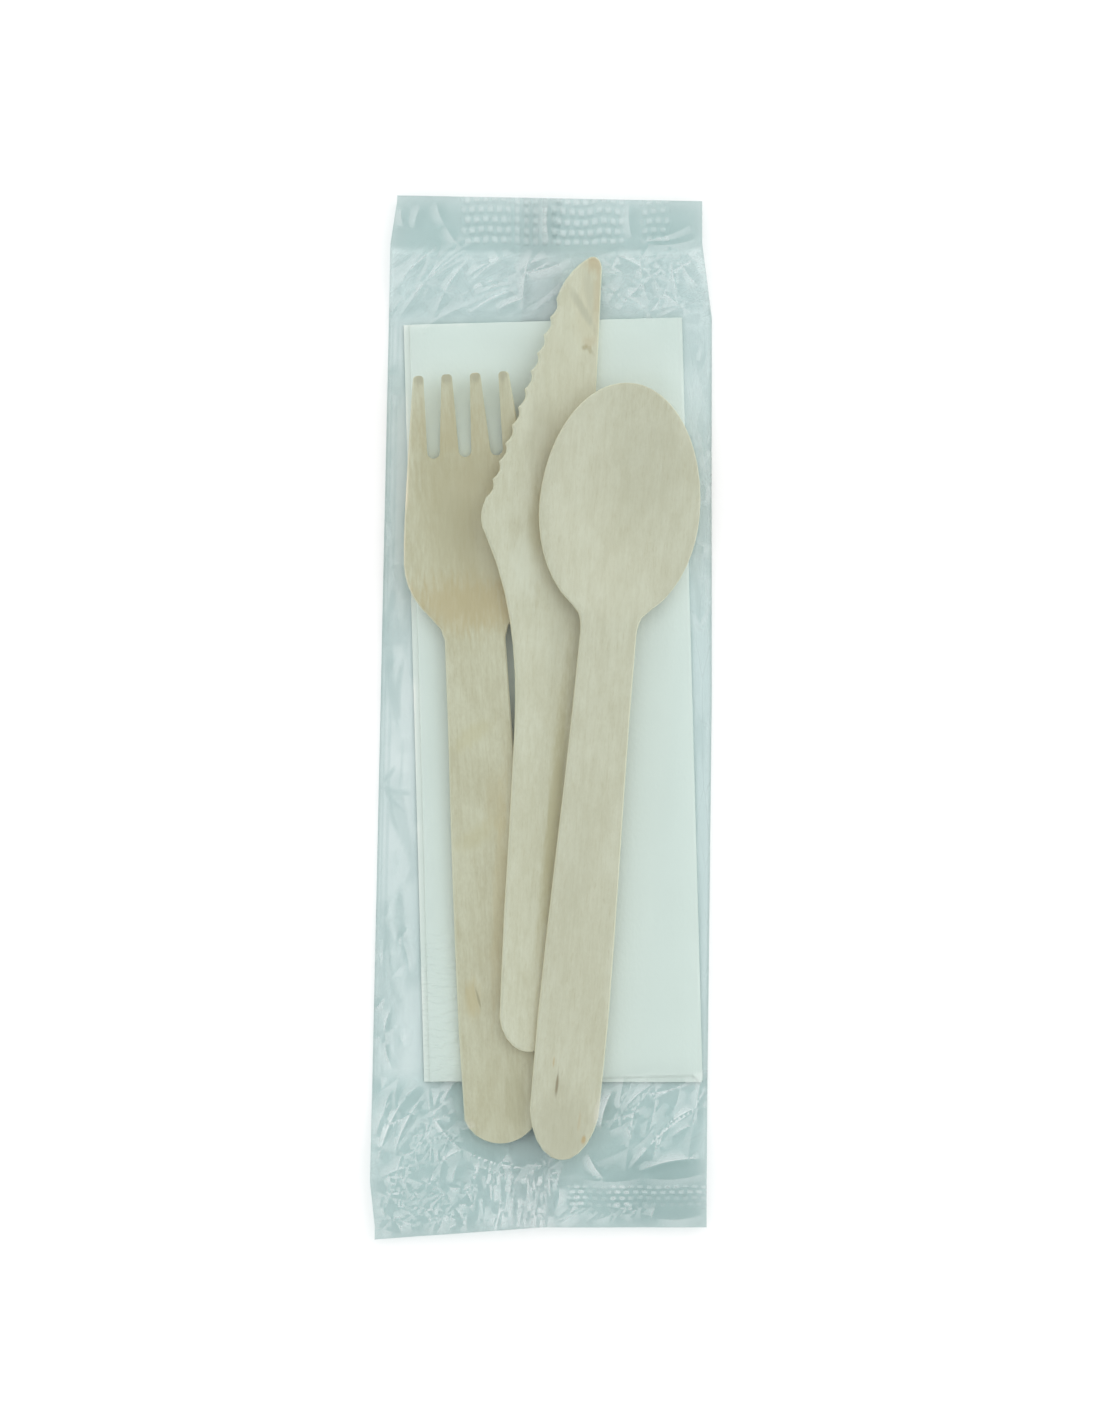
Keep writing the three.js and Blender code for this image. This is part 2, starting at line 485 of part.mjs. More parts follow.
// Film: its ends, sides and top are set out from the contents
function filmGeometry() {
  const tops = [...heightMap(contents, Math.max).values()];
  const undersides = [...heightMap(contents, Math.min).values()];
  const box = new THREE.Box3();
  contents.forEach((mesh) => box.expandByObject(mesh, true));
  const napkinBox = new THREE.Box3().setFromObject(napkin, true);
  const headSeal = box.max.y + HEAD_ROOM;
  const footSeal = box.min.y - FOOT_ROOM;
  const span = headSeal - footSeal;
  const leftAt = (y) => box.min.x - FILM_LEFT_ROOM + (FILM_LEFT_LEAN * (y - footSeal)) / span;
  const rightAt = (y) => {
    const toHead = THREE.MathUtils.clamp((y - napkinBox.max.y) / (headSeal - napkinBox.max.y), 0, 1);
    const toFoot = THREE.MathUtils.clamp((NAPKIN_Y - y) / (NAPKIN_Y - footSeal), 0, 1);
    return box.max.x + FILM_RIGHT_ROOM - FILM_HEAD_DRAW * toHead - FILM_FOOT_DRAW * toFoot;
  };
  const flatTop = finTop + FILM_LAYER_GAP + FILM_WALL;

  // Folds where the slack film is gathered: [across, along] shares of each end and of the left margin
  const headZone = [headSeal, napkinBox.max.y];
  const footZone = [footSeal, napkinBox.min.y];
  const margin = [napkinBox.max.y, napkinBox.min.y];
  const creases = [
    [headZone, [0.04, 0.1], [0.3, 1]],
    [headZone, [0.3, 0], [0.42, 0.9]],
    [headZone, [0.5, 0.1], [0.36, 0.7]],
    [headZone, [0.74, 0.9], [0.92, 0.1]],
    [headZone, [0.9, 0.95], [0.76, 0.2]],
    [footZone, [0.05, 0.2], [0.24, 1]],
    [footZone, [0.22, 0.1], [0.12, 0.8]],
    [footZone, [0.46, 0], [0.44, 0.6]],
    [footZone, [0.6, 0.1], [0.72, 0.9]],
    [footZone, [0.78, 0], [0.86, 0.9]],
    [footZone, [0.95, 0.1], [0.82, 0.7]],
    [margin, [0.05, 0.1], [0.05, 0.45]],
    [margin, [0.09, 0.5], [0.05, 0.9]],
  ].map(([zone, ...ends]) => {
    const [from, to] = ends.map(([across, along]) => {
      const y = THREE.MathUtils.lerp(zone[0], zone[1], along);
      return new THREE.Vector3(THREE.MathUtils.lerp(leftAt(y), rightAt(y), across), y, 0);
    });
    return new THREE.Line3(from, to);
  });
  const nearest = new THREE.Vector3();
  const creaseAt = (x, y) => {
    const point = new THREE.Vector3(x, y, 0);
    const rise = creases.map((line) => {
      line.closestPointToPoint(point, true, nearest);
      return Math.max(0, 1 - nearest.distanceTo(point) / CREASE_HALF_WIDTH);
    });
    return CREASE_HEIGHT * Math.max(...rise);
  };

  // The film slopes down from whatever it lies on, with each facet clear of the contents under it
  const drape = (x, y, reachX, reachY) => {
    let height = flatTop;
    for (const top of tops) {
      const dx = Math.max(0, Math.abs(x - top.x) - reachX);
      const dy = Math.max(0, Math.abs(y - top.y) - reachY);
      height = Math.max(height, top.z + FILM_CLEARANCE + FILM_WALL - FILM_SLOPE * Math.hypot(dx, dy));
    }
    return height;
  };

  // Beyond the napkin the back panel rises to the seals, as far as the contents above it allow
  const backAt = (y, reachY) => {
    const beyondHead = (y - napkinBox.max.y) / (headSeal - napkinBox.max.y);
    const beyondFoot = (y - napkinBox.min.y) / (footSeal - napkinBox.min.y);
    const rise = CRIMP_LIFT * THREE.MathUtils.smoothstep(Math.max(beyondHead, beyondFoot), 0, 1);
    const near = undersides.filter((under) => Math.abs(under.y - y) <= reachY + GRID);
    const room = near.reduce((least, under) => Math.min(least, under.z), Infinity) - finTop - REST_GAP;
    return Math.max(0, Math.min(rise, room));
  };

  const sealOverlap = CRIMP_PITCH / 4;
  const rows = [
    footSeal - sealOverlap,
    footSeal + CRIMP_COVER,
    ...spread(footSeal, napkinBox.min.y, FILM_END_ROWS),
    ...spread(napkinBox.min.y, napkinBox.max.y, FILM_MIDDLE_ROWS),
    ...spread(napkinBox.max.y, headSeal, FILM_END_ROWS).slice(0, -1),
    headSeal - CRIMP_COVER,
    headSeal + sealOverlap,
  ];
  const shares = spread(0, 1, FILM_COLUMNS).map((share) => share / 2 + (1 - Math.cos(Math.PI * share)) / 4);
  const sections = rows.map((y, row) => {
    const atSeal = y < footSeal + 2 * CRIMP_COVER || y > headSeal - 2 * CRIMP_COVER;
    const reachY = Math.max(y - (rows[row - 1] ?? y), (rows[row + 1] ?? y) - y);
    const base = atSeal ? CRIMP_LIFT + CRIMP_COVER : backAt(y, reachY);
    const left = leftAt(y);
    const right = rightAt(y);
    const columns = [0, ...shares].map((share) => THREE.MathUtils.lerp(left, right, share));
    const topAt = (column) => {
      if (atSeal) return flatTop;
      const x = columns[column];
      const reachX = Math.max(x - (columns[column - 1] ?? x), (columns[column + 1] ?? x) - x);
      const inside = column > 0 && column < FILM_COLUMNS;
      const height = Math.max(flatTop, drape(x, y, reachX, reachY) - base);
      return height + (inside ? creaseAt(x, y) : 0);
    };
    const side = (edge, height, inward) => {
      const corner = edge + inward * FILM_SIDE_BULGE * (height - flatTop);
      return [
        [[corner, height], [corner + inward * FILM_WALL, height - FILM_WALL]],
        [[edge, height / 2], [edge + inward * FILM_WALL, height / 2]],
        [[corner, 0], [corner + inward * FILM_WALL, FILM_WALL]],
      ];
    };
    const finEdge = FIN_X - FIN_WIDTH;
    const foldLow = 2 * FILM_WALL + FILM_LAYER_GAP;
    const foldHigh = foldLow + FILM_LAYER_GAP;
    const across = [
      [[finEdge, foldLow], [finEdge, foldLow - FILM_WALL]],
      [[FIN_X - FILM_WALL, foldLow], [FIN_X, foldLow - FILM_WALL]],
      [[FIN_X - FILM_WALL, foldHigh], [FIN_X, finTop]],
      [[finEdge - FILM_WALL, foldHigh], [finEdge - FILM_WALL, finTop]],
      [[finEdge - FIN_RAMP, 0], [finEdge - FIN_RAMP, FILM_WALL]],
      ...side(left, topAt(0), 1).reverse(),
      ...columns.slice(1, -1).map((x, k) => {
        const height = topAt(k + 1);
        return [[x, height], [x, height - FILM_WALL]];
      }),
      ...side(right, topAt(FILM_COLUMNS), -1),
      [[finEdge, 0], [finEdge, FILM_WALL]],
    ];
    return across.map((pair) => pair.map(([x, z]) => [x, y, base + z]));
  });

  // Crimped seal: the layers pressed into one strip, flat where the film runs in, then ridged across
  const crimp = (seal, length, slantAt) => {
    const ridges = 2 * Math.round(Math.abs(length) / CRIMP_PITCH);
    const strip = [0, ...spread(0, 1, ridges)].map((along, row) => {
      const wave = CRIMP_LIFT + (row > 0 && row % 2 === 0 ? CRIMP_WAVE : 0);
      return [0, ...spread(0, 1, CRIMP_COLUMNS)].map((across) => {
        const y = seal + along * (length + slantAt(across));
        const overhang = CRIMP_COVER * (2 * across - 1);
        const x = THREE.MathUtils.lerp(leftAt(y), rightAt(y), across) + overhang;
        return [[x, y, wave + flatTop + 2 * CRIMP_COVER], [x, y, wave]];
      });
    });
    return toSolid(sheet(length > 0 ? strip : strip.reverse()));
  };
  const headCrimp = crimp(headSeal, HEAD_CRIMP, (across) => HEAD_SLANT * (1 - across));
  const footCrimp = crimp(footSeal, -FOOT_CRIMP, (across) => -FOOT_SLANT * Math.max(0, 1 - 2 * across));
  return toGeometry(toSolid(sheet(sections)).add(headCrimp).add(footCrimp));
}

const clear = material(0xdfeeee, 0.1, { transparent: true, opacity: 0.3 });
const film = piece('film_wrapper', filmGeometry(), clear, 0, 0, 0);

const pack = new THREE.Group();
pack.add(film, napkin, fork, knife, spoon);
const filmBox = new THREE.Box3().setFromObject(film);
const filmMiddle = filmBox.getCenter(new THREE.Vector3());
pack.position.set(-filmMiddle.x, -filmMiddle.y, -filmBox.min.z);

export default pack;
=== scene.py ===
import math

import bmesh
import bpy
import numpy as np
from mathutils import Matrix, Vector
from mathutils.bvhtree import BVHTree
from mathutils.geometry import delaunay_2d_cdt


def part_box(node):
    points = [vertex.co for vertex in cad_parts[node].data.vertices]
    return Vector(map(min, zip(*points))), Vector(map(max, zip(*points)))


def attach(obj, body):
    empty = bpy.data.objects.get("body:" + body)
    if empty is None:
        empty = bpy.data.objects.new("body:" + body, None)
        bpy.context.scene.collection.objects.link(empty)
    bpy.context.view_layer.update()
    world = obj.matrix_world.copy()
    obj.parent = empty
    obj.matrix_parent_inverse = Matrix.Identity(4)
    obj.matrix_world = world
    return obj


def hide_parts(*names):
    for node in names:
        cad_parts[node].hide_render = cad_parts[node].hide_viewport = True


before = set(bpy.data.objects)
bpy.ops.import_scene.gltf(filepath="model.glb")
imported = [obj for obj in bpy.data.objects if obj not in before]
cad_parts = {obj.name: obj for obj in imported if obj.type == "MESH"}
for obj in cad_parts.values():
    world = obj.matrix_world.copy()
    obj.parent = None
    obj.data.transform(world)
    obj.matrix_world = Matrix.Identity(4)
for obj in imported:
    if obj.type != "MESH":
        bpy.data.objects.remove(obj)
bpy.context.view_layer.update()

# Napkin
# One sheet of soft white tissue, folded in half along its length and then twice across, so that the pad
# has four double leaves. It lies loose on the back of the wrapper, with its open edges at the handles.
MM = 0.001
NAPKIN_WIDTH = 57.4
NAPKIN_LENGTH = 156
NAPKIN_TURN = 1.55
LEAF_PITCH = 0.43
LAYER_OFFSET = 0.09
OPEN_EDGE_STEP = 1.2
LOWER_EDGE_STEP = 1.3
INNER_EDGE_STEP = 0.35
PINCH_REACH = 5
PINCHED = 0.45
EDGE_DROP = 0.3
LEAF_POINTS = 42
BEND_POINTS = 9
LAYER_ROWS = 80
TOP_ROWS = 7
NAPKIN_SWELLS = [((-17, 58.8), (14, 16), 0.8), ((-9, 6.5), (8, 20), 0.8)]
TISSUE_WHITE = (0.92, 0.935, 0.885, 1)
TISSUE_SHADE = (0.875, 0.893, 0.84, 1)
CREPE_SIZE = 0.55
EMBOSS_SIZE = 1.7
EMBOSS_DEPTH = 0.15
TISSUE_RELIEF = 0.12
WRINKLES_MIDDLE = (-20.5, -60)
WRINKLES_HALF = (7, 22)
WRINKLES_SCALE = (0.3, 0.9, 0)
WRINKLES_DEPTH = 3.0


def piece_of(mesh, name):
    """A finished mesh as an object of the scene."""
    piece = bpy.data.objects.new(name, mesh)
    bpy.context.scene.collection.objects.link(piece)
    return piece


def sheet_mesh(name, points, flat):
    """A mesh of quads from rows of points in mm, with the flat sheet in mm as its UV map."""
    rows, columns, _ = points.shape
    number = np.arange(rows * columns).reshape(rows, columns)
    corners = (number[:-1, :-1], number[:-1, 1:], number[1:, 1:], number[1:, :-1])
    quads = np.stack(corners, axis=-1).reshape(-1, 4)
    mesh = bpy.data.meshes.new(name)
    mesh.from_pydata((points.reshape(-1, 3) * MM).tolist(), [], quads.tolist())
    uv = mesh.uv_layers.new(name="flat_sheet")
    uv.data.foreach_set("uv", flat.reshape(-1, 2)[quads.ravel()].astype(np.float32).ravel())
    mesh.shade_smooth()
    return mesh


def add(tree, kind, inputs=None, **settings):
    """A node in a tree. An input that is given a socket is linked to it, and any other is set."""
    node = tree.nodes.new(kind)
    for name, value in settings.items():
        setattr(node, name, value)
    for key, value in (inputs or {}).items():
        if isinstance(value, bpy.types.NodeSocket):
            tree.links.new(value, node.inputs[key])
        else:
            node.inputs[key].default_value = value
    return node


def calculate(tree, operation, *values, clamp=False):
    """The result of one step of arithmetic on sockets or numbers."""
    inputs = dict(enumerate(values))
    return add(tree, "ShaderNodeMath", inputs, operation=operation, use_clamp=clamp).outputs[0]


def vary(tree, operation, *values):
    """The result of one step of vector arithmetic."""
    return add(tree, "ShaderNodeVectorMath", dict(enumerate(values)), operation=operation).outputs[0]


def fade(tree, value, start, end):
    """A smooth step from 0 at start to 1 at end."""
    inputs = {"Value": value, "From Min": start, "From Max": end}
    return add(tree, "ShaderNodeMapRange", inputs, interpolation_type="SMOOTHSTEP").outputs["Result"]


def blend(tree, share, first, second):
    """Two colours mixed by a share."""
    mix = add(tree, "ShaderNodeMix", {0: share, 6: first, 7: second}, data_type="RGBA")
    return mix.outputs[2]


def speckle(tree, position, scale, detail=2.0, **more):
    """Cloudy noise from 0 to 1 at a position that is first scaled along each axis."""
    scaled = vary(tree, "MULTIPLY", position, scale)
    noise = add(tree, "ShaderNodeTexNoise", {"Vector": scaled, "Scale": 1.0, "Detail": detail, **more})
    return noise.outputs["Fac"]


def new_material(name):
    """An empty material with its output and one Principled shader."""
    material = bpy.data.materials.new(name)
    material.use_nodes = True
    tree = material.node_tree
    tree.nodes.clear()
    shader = add(tree, "ShaderNodeBsdfPrincipled")
    output = add(tree, "ShaderNodeOutputMaterial", {"Surface": shader.outputs[0]})
    return material, tree, shader, output


def napkin_section():
    """The folded leaves seen from the open edges: points [across, up] and the run of sheet up to each."""
    half = NAPKIN_WIDTH / 2
    right = half - 1.5 * LEAF_PITCH - LAYER_OFFSET
    left = OPEN_EDGE_STEP - half + 0.5 * LEAF_PITCH + LAYER_OFFSET

    def level(leaf):
        return LAYER_OFFSET + leaf * LEAF_PITCH

    def run(start, end, height):
        return [(x, height) for x in np.linspace(start, end, LEAF_POINTS)]

    def bend(x, height, radius, start, end):
        turns = np.radians(np.linspace(start, end, BEND_POINTS)[1:-1])
        return [(x + radius * math.cos(turn), height + radius * math.sin(turn)) for turn in turns]

    section = np.array(
        run(-half, right, level(0))
        + bend(right, level(1.5), 1.5 * LEAF_PITCH, -90, 90)
        + run(right, left, level(3))
        + bend(left, level(2.5), 0.5 * LEAF_PITCH, 90, 270)
        + run(left, right, level(2))
        + bend(right, level(1.5), 0.5 * LEAF_PITCH, 90, -90)
        + run(right, -half, level(1))
    )
    steps = np.hypot(*np.diff(section, axis=0).T)
    return section, np.concatenate([[0], np.cumsum(steps)])


def napkin_mesh():
    """The sheet: each leaf is two layers, which join in a tight fold at the top of the pad."""
    section, across = napkin_section()
    direction = np.gradient(section, axis=0)
    direction /= np.linalg.norm(direction, axis=1, keepdims=True)
    outward = np.column_stack([direction[:, 1], -direction[:, 0]])
    half = NAPKIN_LENGTH / 2
    along = np.linspace(0, 1, LAYER_ROWS)
    turns = np.radians(np.linspace(0, 180, TOP_ROWS)[1:-1])
    top = half - LAYER_OFFSET

    # The uppermost leaf, the second quarter of the run, ends a step above the others at the right
    share = across / across[-1]
    lowest = np.where((share > 0.26) & (share < 0.5), 0, -LOWER_EDGE_STEP)
    skew = np.clip((section[:, 0] + NAPKIN_WIDTH / 2) / NAPKIN_WIDTH, 0, 1)
    edge = -half + lowest * skew
    rows = []
    for rise in along:
        rows.append((edge + rise * (top - edge), 1.0))
    for turn in turns:
        rows.append((np.full_like(edge, top + LAYER_OFFSET * math.sin(turn)), math.cos(turn)))
    inner_edge = edge - INNER_EDGE_STEP * skew
    for rise in along[::-1]:
        rows.append((inner_edge + rise * (top - inner_edge), -1.0))
    y = np.array([row[0] for row in rows])
    side = np.array([row[1] for row in rows])[:, None]
    x = section[:, 0] + side * LAYER_OFFSET * outward[:, 0]
    z = section[:, 1] + side * LAYER_OFFSET * outward[:, 1]

    # The folds are pressed thinner than the middle of the pad, which swells where nothing presses on it:
    # under the fork's raised tines and beside its neck
    inward = np.minimum(NAPKIN_WIDTH / 2 - np.abs(x), half + LOWER_EDGE_STEP - np.abs(y))
    full = np.sin(np.pi / 2 * np.clip(inward / PINCH_REACH, 0, 1))
    uneven = 1 + 0.02 * np.sin(0.21 * x + 0.05 * y) * np.sin(0.13 * y + 0.4)
    for (middle_x, middle_y), (half_x, half_y), swell in NAPKIN_SWELLS:
        away = ((x - middle_x) / half_x) ** 2 + ((y - middle_y) / half_y) ** 2
        uneven = uneven + swell * np.clip(1 - away, 0, 1)
    z = z * (PINCHED + (1 - PINCHED) * full) * uneven - EDGE_DROP * (1 - full)
    low, high = (np.array(corner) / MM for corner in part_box("napkin"))
    centre = (low + high) / 2
    turn = math.radians(NAPKIN_TURN)
    placed = np.stack(
        [
            centre[0] + x * math.cos(turn) - y * math.sin(turn),
            centre[1] + x * math.sin(turn) + y * math.cos(turn),
            low[2] + z,
        ],
        axis=-1,
    )
    length = NAPKIN_LENGTH * np.concatenate([along, np.ones(len(turns)), 2 - along[::-1]])
    flat = np.stack(np.broadcast_arrays(across[None, :], length[:, None]), axis=-1)
    return sheet_mesh("napkin_sheet", placed, flat)


def tissue_material():
    """Creped tissue with a fine embossed dot over it, and wrinkles beside the handle of the fork."""
    material, tree, shader, _ = new_material("tissue")
    sheet = add(tree, "ShaderNodeUVMap", uv_map="flat_sheet").outputs[0]
    crepe = speckle(tree, sheet, (1 / CREPE_SIZE, 0.45 / CREPE_SIZE, 1), 3.0)
    clouds = speckle(tree, sheet, (0.07, 0.05, 1), 2.0)
    spot = vary(tree, "MULTIPLY", sheet, (1 / EMBOSS_SIZE,) * 3)
    spot = add(tree, "ShaderNodeTexVoronoi", {"Vector": spot, "Scale": 1.0, "Randomness": 0.12})
    dots = fade(tree, spot.outputs["Distance"], 0.42, 0.2)
    tree.links.new(blend(tree, clouds, TISSUE_WHITE, TISSUE_SHADE), shader.inputs["Base Color"])
    height = calculate(tree, "MULTIPLY_ADD", dots, -EMBOSS_DEPTH, crepe)

    # Short wrinkles across the sheet where the handle of the fork has dragged on it
    place = vary(tree, "MULTIPLY", add(tree, "ShaderNodeTexCoord").outputs["Object"], (1 / MM,) * 3)
    offset = vary(tree, "SUBTRACT", place, (*WRINKLES_MIDDLE, 0))
    offset = vary(tree, "DIVIDE", vary(tree, "MULTIPLY", offset, (1, 1, 0)), (*WRINKLES_HALF, 1))
    away = add(tree, "ShaderNodeVectorMath", {0: offset}, operation="LENGTH").outputs["Value"]
    wrinkles = fade(tree, speckle(tree, place, WRINKLES_SCALE, 2.0), 0.42, 0.62)
    wrinkles = calculate(tree, "MULTIPLY", wrinkles, fade(tree, away, 1.0, 0.45))
    height = calculate(tree, "MULTIPLY_ADD", wrinkles, WRINKLES_DEPTH, height)
    bump = {"Strength": 0.35, "Distance": TISSUE_RELIEF * MM, "Height": height}
    bump = add(tree, "ShaderNodeBump", bump)
    tree.links.new(bump.outputs[0], shader.inputs["Normal"])
    shader.inputs["Roughness"].default_value = 0.95
    shader.inputs["Specular IOR Level"].default_value = 0.2
    return material


napkin = piece_of(napkin_mesh(), "folded_napkin")
napkin.data.materials.append(tissue_material())
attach(napkin, "root")
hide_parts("napkin")

# Fork
# A blank of birch veneer, cut out and then pressed hot so that the head dips below the handle.
# It lies on the napkin, under the knife, and the press has left the head a little darker.
FORK_END = (-7.76, -87.62)
FORK_TURN = 3.1
FORK_PALE = (0.80, 0.718, 0.55, 1)
FORK_DARK = (0.685, 0.595, 0.425, 1)
FORK_GRAIN = 1.6
FORK_FIGURE = 1.8
PALE_CUT_EDGE_AND_RIM_HIGHLIGHT = (0.95, 0.87, 0.68, 1)
BIRCH_RELIEF = 0.06
JOIN_REACH = 0.002
SHARP_EDGE = 30
RIM_TURN = 55
RIM_SLOPE = 0.7
RIM_WIDTH = 0.22
STRAIGHT_TURN = 2
CORNER_TURN = 45
LONG_RUN = 3
LEAST_BULGE = 0.008
CURVE_CUTS = 5


def curve_point(share, start, first_pull, second_pull, end):
    """A point of the curve from start to end that two pulls bend, at a share of the way."""
    left = 1 - share
    ends = left**3 * start + share**3 * end
    return ends + 3 * left * share * (left * first_pull + share * second_pull)


def round_outline(shape, rim):
    """Bends the straight runs of a cut outline into the curve that they follow, along both sides of its rim.
    A run that is much longer than its neighbour stays straight, and a sharp corner stays one."""
    rim = set(rim)
    shape.verts.index_update()
    meeting = {}
    for edge in shape.edges:
        if sum(face in rim for face in edge.link_faces) == 1:
            for corner in edge.verts:
                meeting.setdefault(corner, []).append(edge)

    def turn(corner):
        if len(meeting[corner]) != 2:
            return 180
        before, after = (edge.other_vert(corner).co for edge in meeting[corner])
        return math.degrees((corner.co - before).angle(after - corner.co))

    corners = {corner: turn(corner) for corner in meeting if turn(corner) > STRAIGHT_TURN}

    def run_from(corner, edge):
        """The corners and points of a straight run, and its last edge."""
        run = [corner, edge.other_vert(corner)]
        while run[-1] not in corners:
            edge = next(other for other in meeting[run[-1]] if other is not edge)
            run.append(edge.other_vert(run[-1]))
        return run, edge

    def heading(run, edge):
        """The direction in which the curve leaves the first corner of a run."""
        onward = run[-1].co - run[0].co
        if corners[run[0]] > CORNER_TURN:
            return onward.normalized()
        other = next(other for other in meeting[run[0]] if other is not edge)
        before = run[0].co - run_from(run[0], other)[0][-1].co
        if onward.length > LONG_RUN * before.length:
            return onward.normalized()
        if before.length > LONG_RUN * onward.length:
            return before.normalized()
        return (before.normalized() * onward.length + onward.normalized() * before.length).normalized()

    curves = []
    for corner in corners:
        for edge in meeting[corner]:
            run, last = run_from(corner, edge)
            start, end = run[0].co.copy(), run[-1].co.copy()
            third = (end - start).length / 3
            pulls = (start + third * heading(run, edge), end + third * heading(run[::-1], last))
            curve = (start, *pulls, end)
            bulge = (curve_point(0.5, *curve) - (start + end) / 2).length
            if run[0].index < run[-1].index and bulge >= LEAST_BULGE * MM:
                curves.append((run, edge, curve))
    for run, edge, curve in curves:
        start, end = curve[0], curve[-1]
        for point in run[1:-1]:
            point.co = curve_point((point.co - start).length / (end - start).length, *curve)
        if len(run) == 2:
            corner = run[0]
            for cut in range(1, CURVE_CUTS + 1):
                _, corner = bmesh.utils.edge_split(edge, corner, 0.5)
                corner.co = curve_point(cut / (CURVE_CUTS + 1), *curve)
    bmesh.ops.triangulate(shape, faces=[face for face in shape.faces if len(face.verts) > 4])


def merged_copy(node, name):
    """A smooth-shaded copy of a solid: its loose triangles are joined, its cut edges are broken by a rim and
    its outline is rounded."""
    shape = bmesh.new()
    shape.from_mesh(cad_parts[node].data)
    bmesh.ops.remove_doubles(shape, verts=shape.verts, dist=JOIN_REACH * MM)
    sharp = math.radians(RIM_TURN)
    rim = [edge for edge in shape.edges if edge.is_manifold and edge.calc_face_angle() > sharp]
    climbs = {edge: abs(edge.verts[0].co.z - edge.verts[1].co.z) / edge.calc_length() for edge in rim}
    rim = [edge for edge in rim if climbs[edge] < RIM_SLOPE]
    broken = bmesh.ops.bevel(
        shape,
        geom=rim,
        offset=RIM_WIDTH * MM,
        offset_type="OFFSET",
        segments=1,
        affect="EDGES",
        clamp_overlap=True,
    )
    round_outline(shape, broken["faces"])
    mesh = bpy.data.meshes.new(name)
    shape.to_mesh(mesh)
    shape.free()
    if "custom_normal" in mesh.attributes:
        mesh.attributes.remove(mesh.attributes["custom_normal"])
    mesh.shade_smooth()
    mesh.set_sharp_from_angle(angle=math.radians(SHARP_EDGE))
    return piece_of(mesh, name)


def shader_group(name, inputs, outputs):
    """An empty group with named sockets: its tree, its input sockets by name and its output node."""
    group = bpy.data.node_groups.new(name, "ShaderNodeTree")
    for label, kind in inputs.items():
        group.interface.new_socket(label, in_out="INPUT", socket_type=kind)
    for label, kind in outputs.items():
        group.interface.new_socket(label, in_out="OUTPUT", socket_type=kind)
    return group, add(group, "NodeGroupInput").outputs, add(group, "NodeGroupOutput")


def birch_group():
    """Birch veneer: fine fibres along the piece, pores, flecks, mottling and a faint broad figure, in mm."""
    inputs = {
        "Position": "NodeSocketVector",
        "Pale": "NodeSocketColor",
        "Dark": "NodeSocketColor",
        "Grain": "NodeSocketFloat",
        "Figure": "NodeSocketFloat",
    }
    outputs = {"Color": "NodeSocketColor", "Roughness": "NodeSocketFloat", "Height": "NodeSocketFloat"}
    group, given, result = shader_group("birch_veneer", inputs, outputs)
    place = given["Position"]
    fibre = speckle(group, place, (1.7, 0.1, 0.6), 5.0, Roughness=0.65)
    mottle = speckle(group, place, (0.5, 0.22, 0.3), 4.0, Roughness=0.6)
    pores = fade(group, speckle(group, place, (4.6, 0.42, 1.0), 1.0), 0.58, 0.74)
    figure = speckle(group, place, (0.11, 0.035, 0.1), 3.0, Distortion=1.4)
    flecks = speckle(group, place, (2.6, 1.1, 1.0), 2.0, Roughness=0.7)
    texture = calculate(group, "SUBTRACT", calculate(group, "ADD", fibre, mottle), 1.35)
    texture = calculate(group, "MULTIPLY_ADD", flecks, 0.7, texture)
    fine = calculate(group, "MULTIPLY", texture, given["Grain"])
    broad = calculate(group, "MULTIPLY", calculate(group, "SUBTRACT", figure, 0.5), given["Figure"])
    share = calculate(group, "ADD", calculate(group, "ADD", fine, broad), 0.5, clamp=True)
    wood = blend(group, share, given["Pale"], given["Dark"])
    pore_share = calculate(group, "MULTIPLY", pores, 0.3)
    deep = vary(group, "MULTIPLY", wood, (0.84, 0.79, 0.68))
    group.links.new(blend(group, pore_share, wood, deep), result.inputs["Color"])
    group.links.new(calculate(group, "MULTIPLY_ADD", fibre, 0.25, 0.5), result.inputs["Roughness"])
    group.links.new(calculate(group, "MULTIPLY_ADD", pores, -0.6, fibre), result.inputs["Height"])
    return group


def mark_group():
    """A soft, slightly ragged oval: 1 in its middle and 0 outside, in mm from a piece's handle end."""
    inputs = {
        "Position": "NodeSocketVector",
        "Middle": "NodeSocketVector",
        "Half Size": "NodeSocketVector",
        "Lean": "NodeSocketFloat",
    }
    group, given, result = shader_group("wood_mark", inputs, {"Mask": "NodeSocketFloat"})
    offset = vary(group, "MULTIPLY", vary(group, "SUBTRACT", given["Position"], given["Middle"]), (1, 1, 0))
    leaning = {"Vector": offset, "Angle": given["Lean"]}
    turned = add(group, "ShaderNodeVectorRotate", leaning, rotation_type="Z_AXIS").outputs[0]
    reach = vary(group, "DIVIDE", turned, given["Half Size"])
    distance = add(group, "ShaderNodeVectorMath", {0: reach}, operation="LENGTH").outputs["Value"]
    ragged = speckle(group, given["Position"], (1.6, 0.3, 0), 2.0)
    wobble = calculate(group, "MULTIPLY_ADD", calculate(group, "SUBTRACT", ragged, 0.5), 0.9, distance)
    group.links.new(fade(group, wobble, 1.0, 0.25), result.inputs["Mask"])
    return group


birch = birch_group()
wood_mark = mark_group()


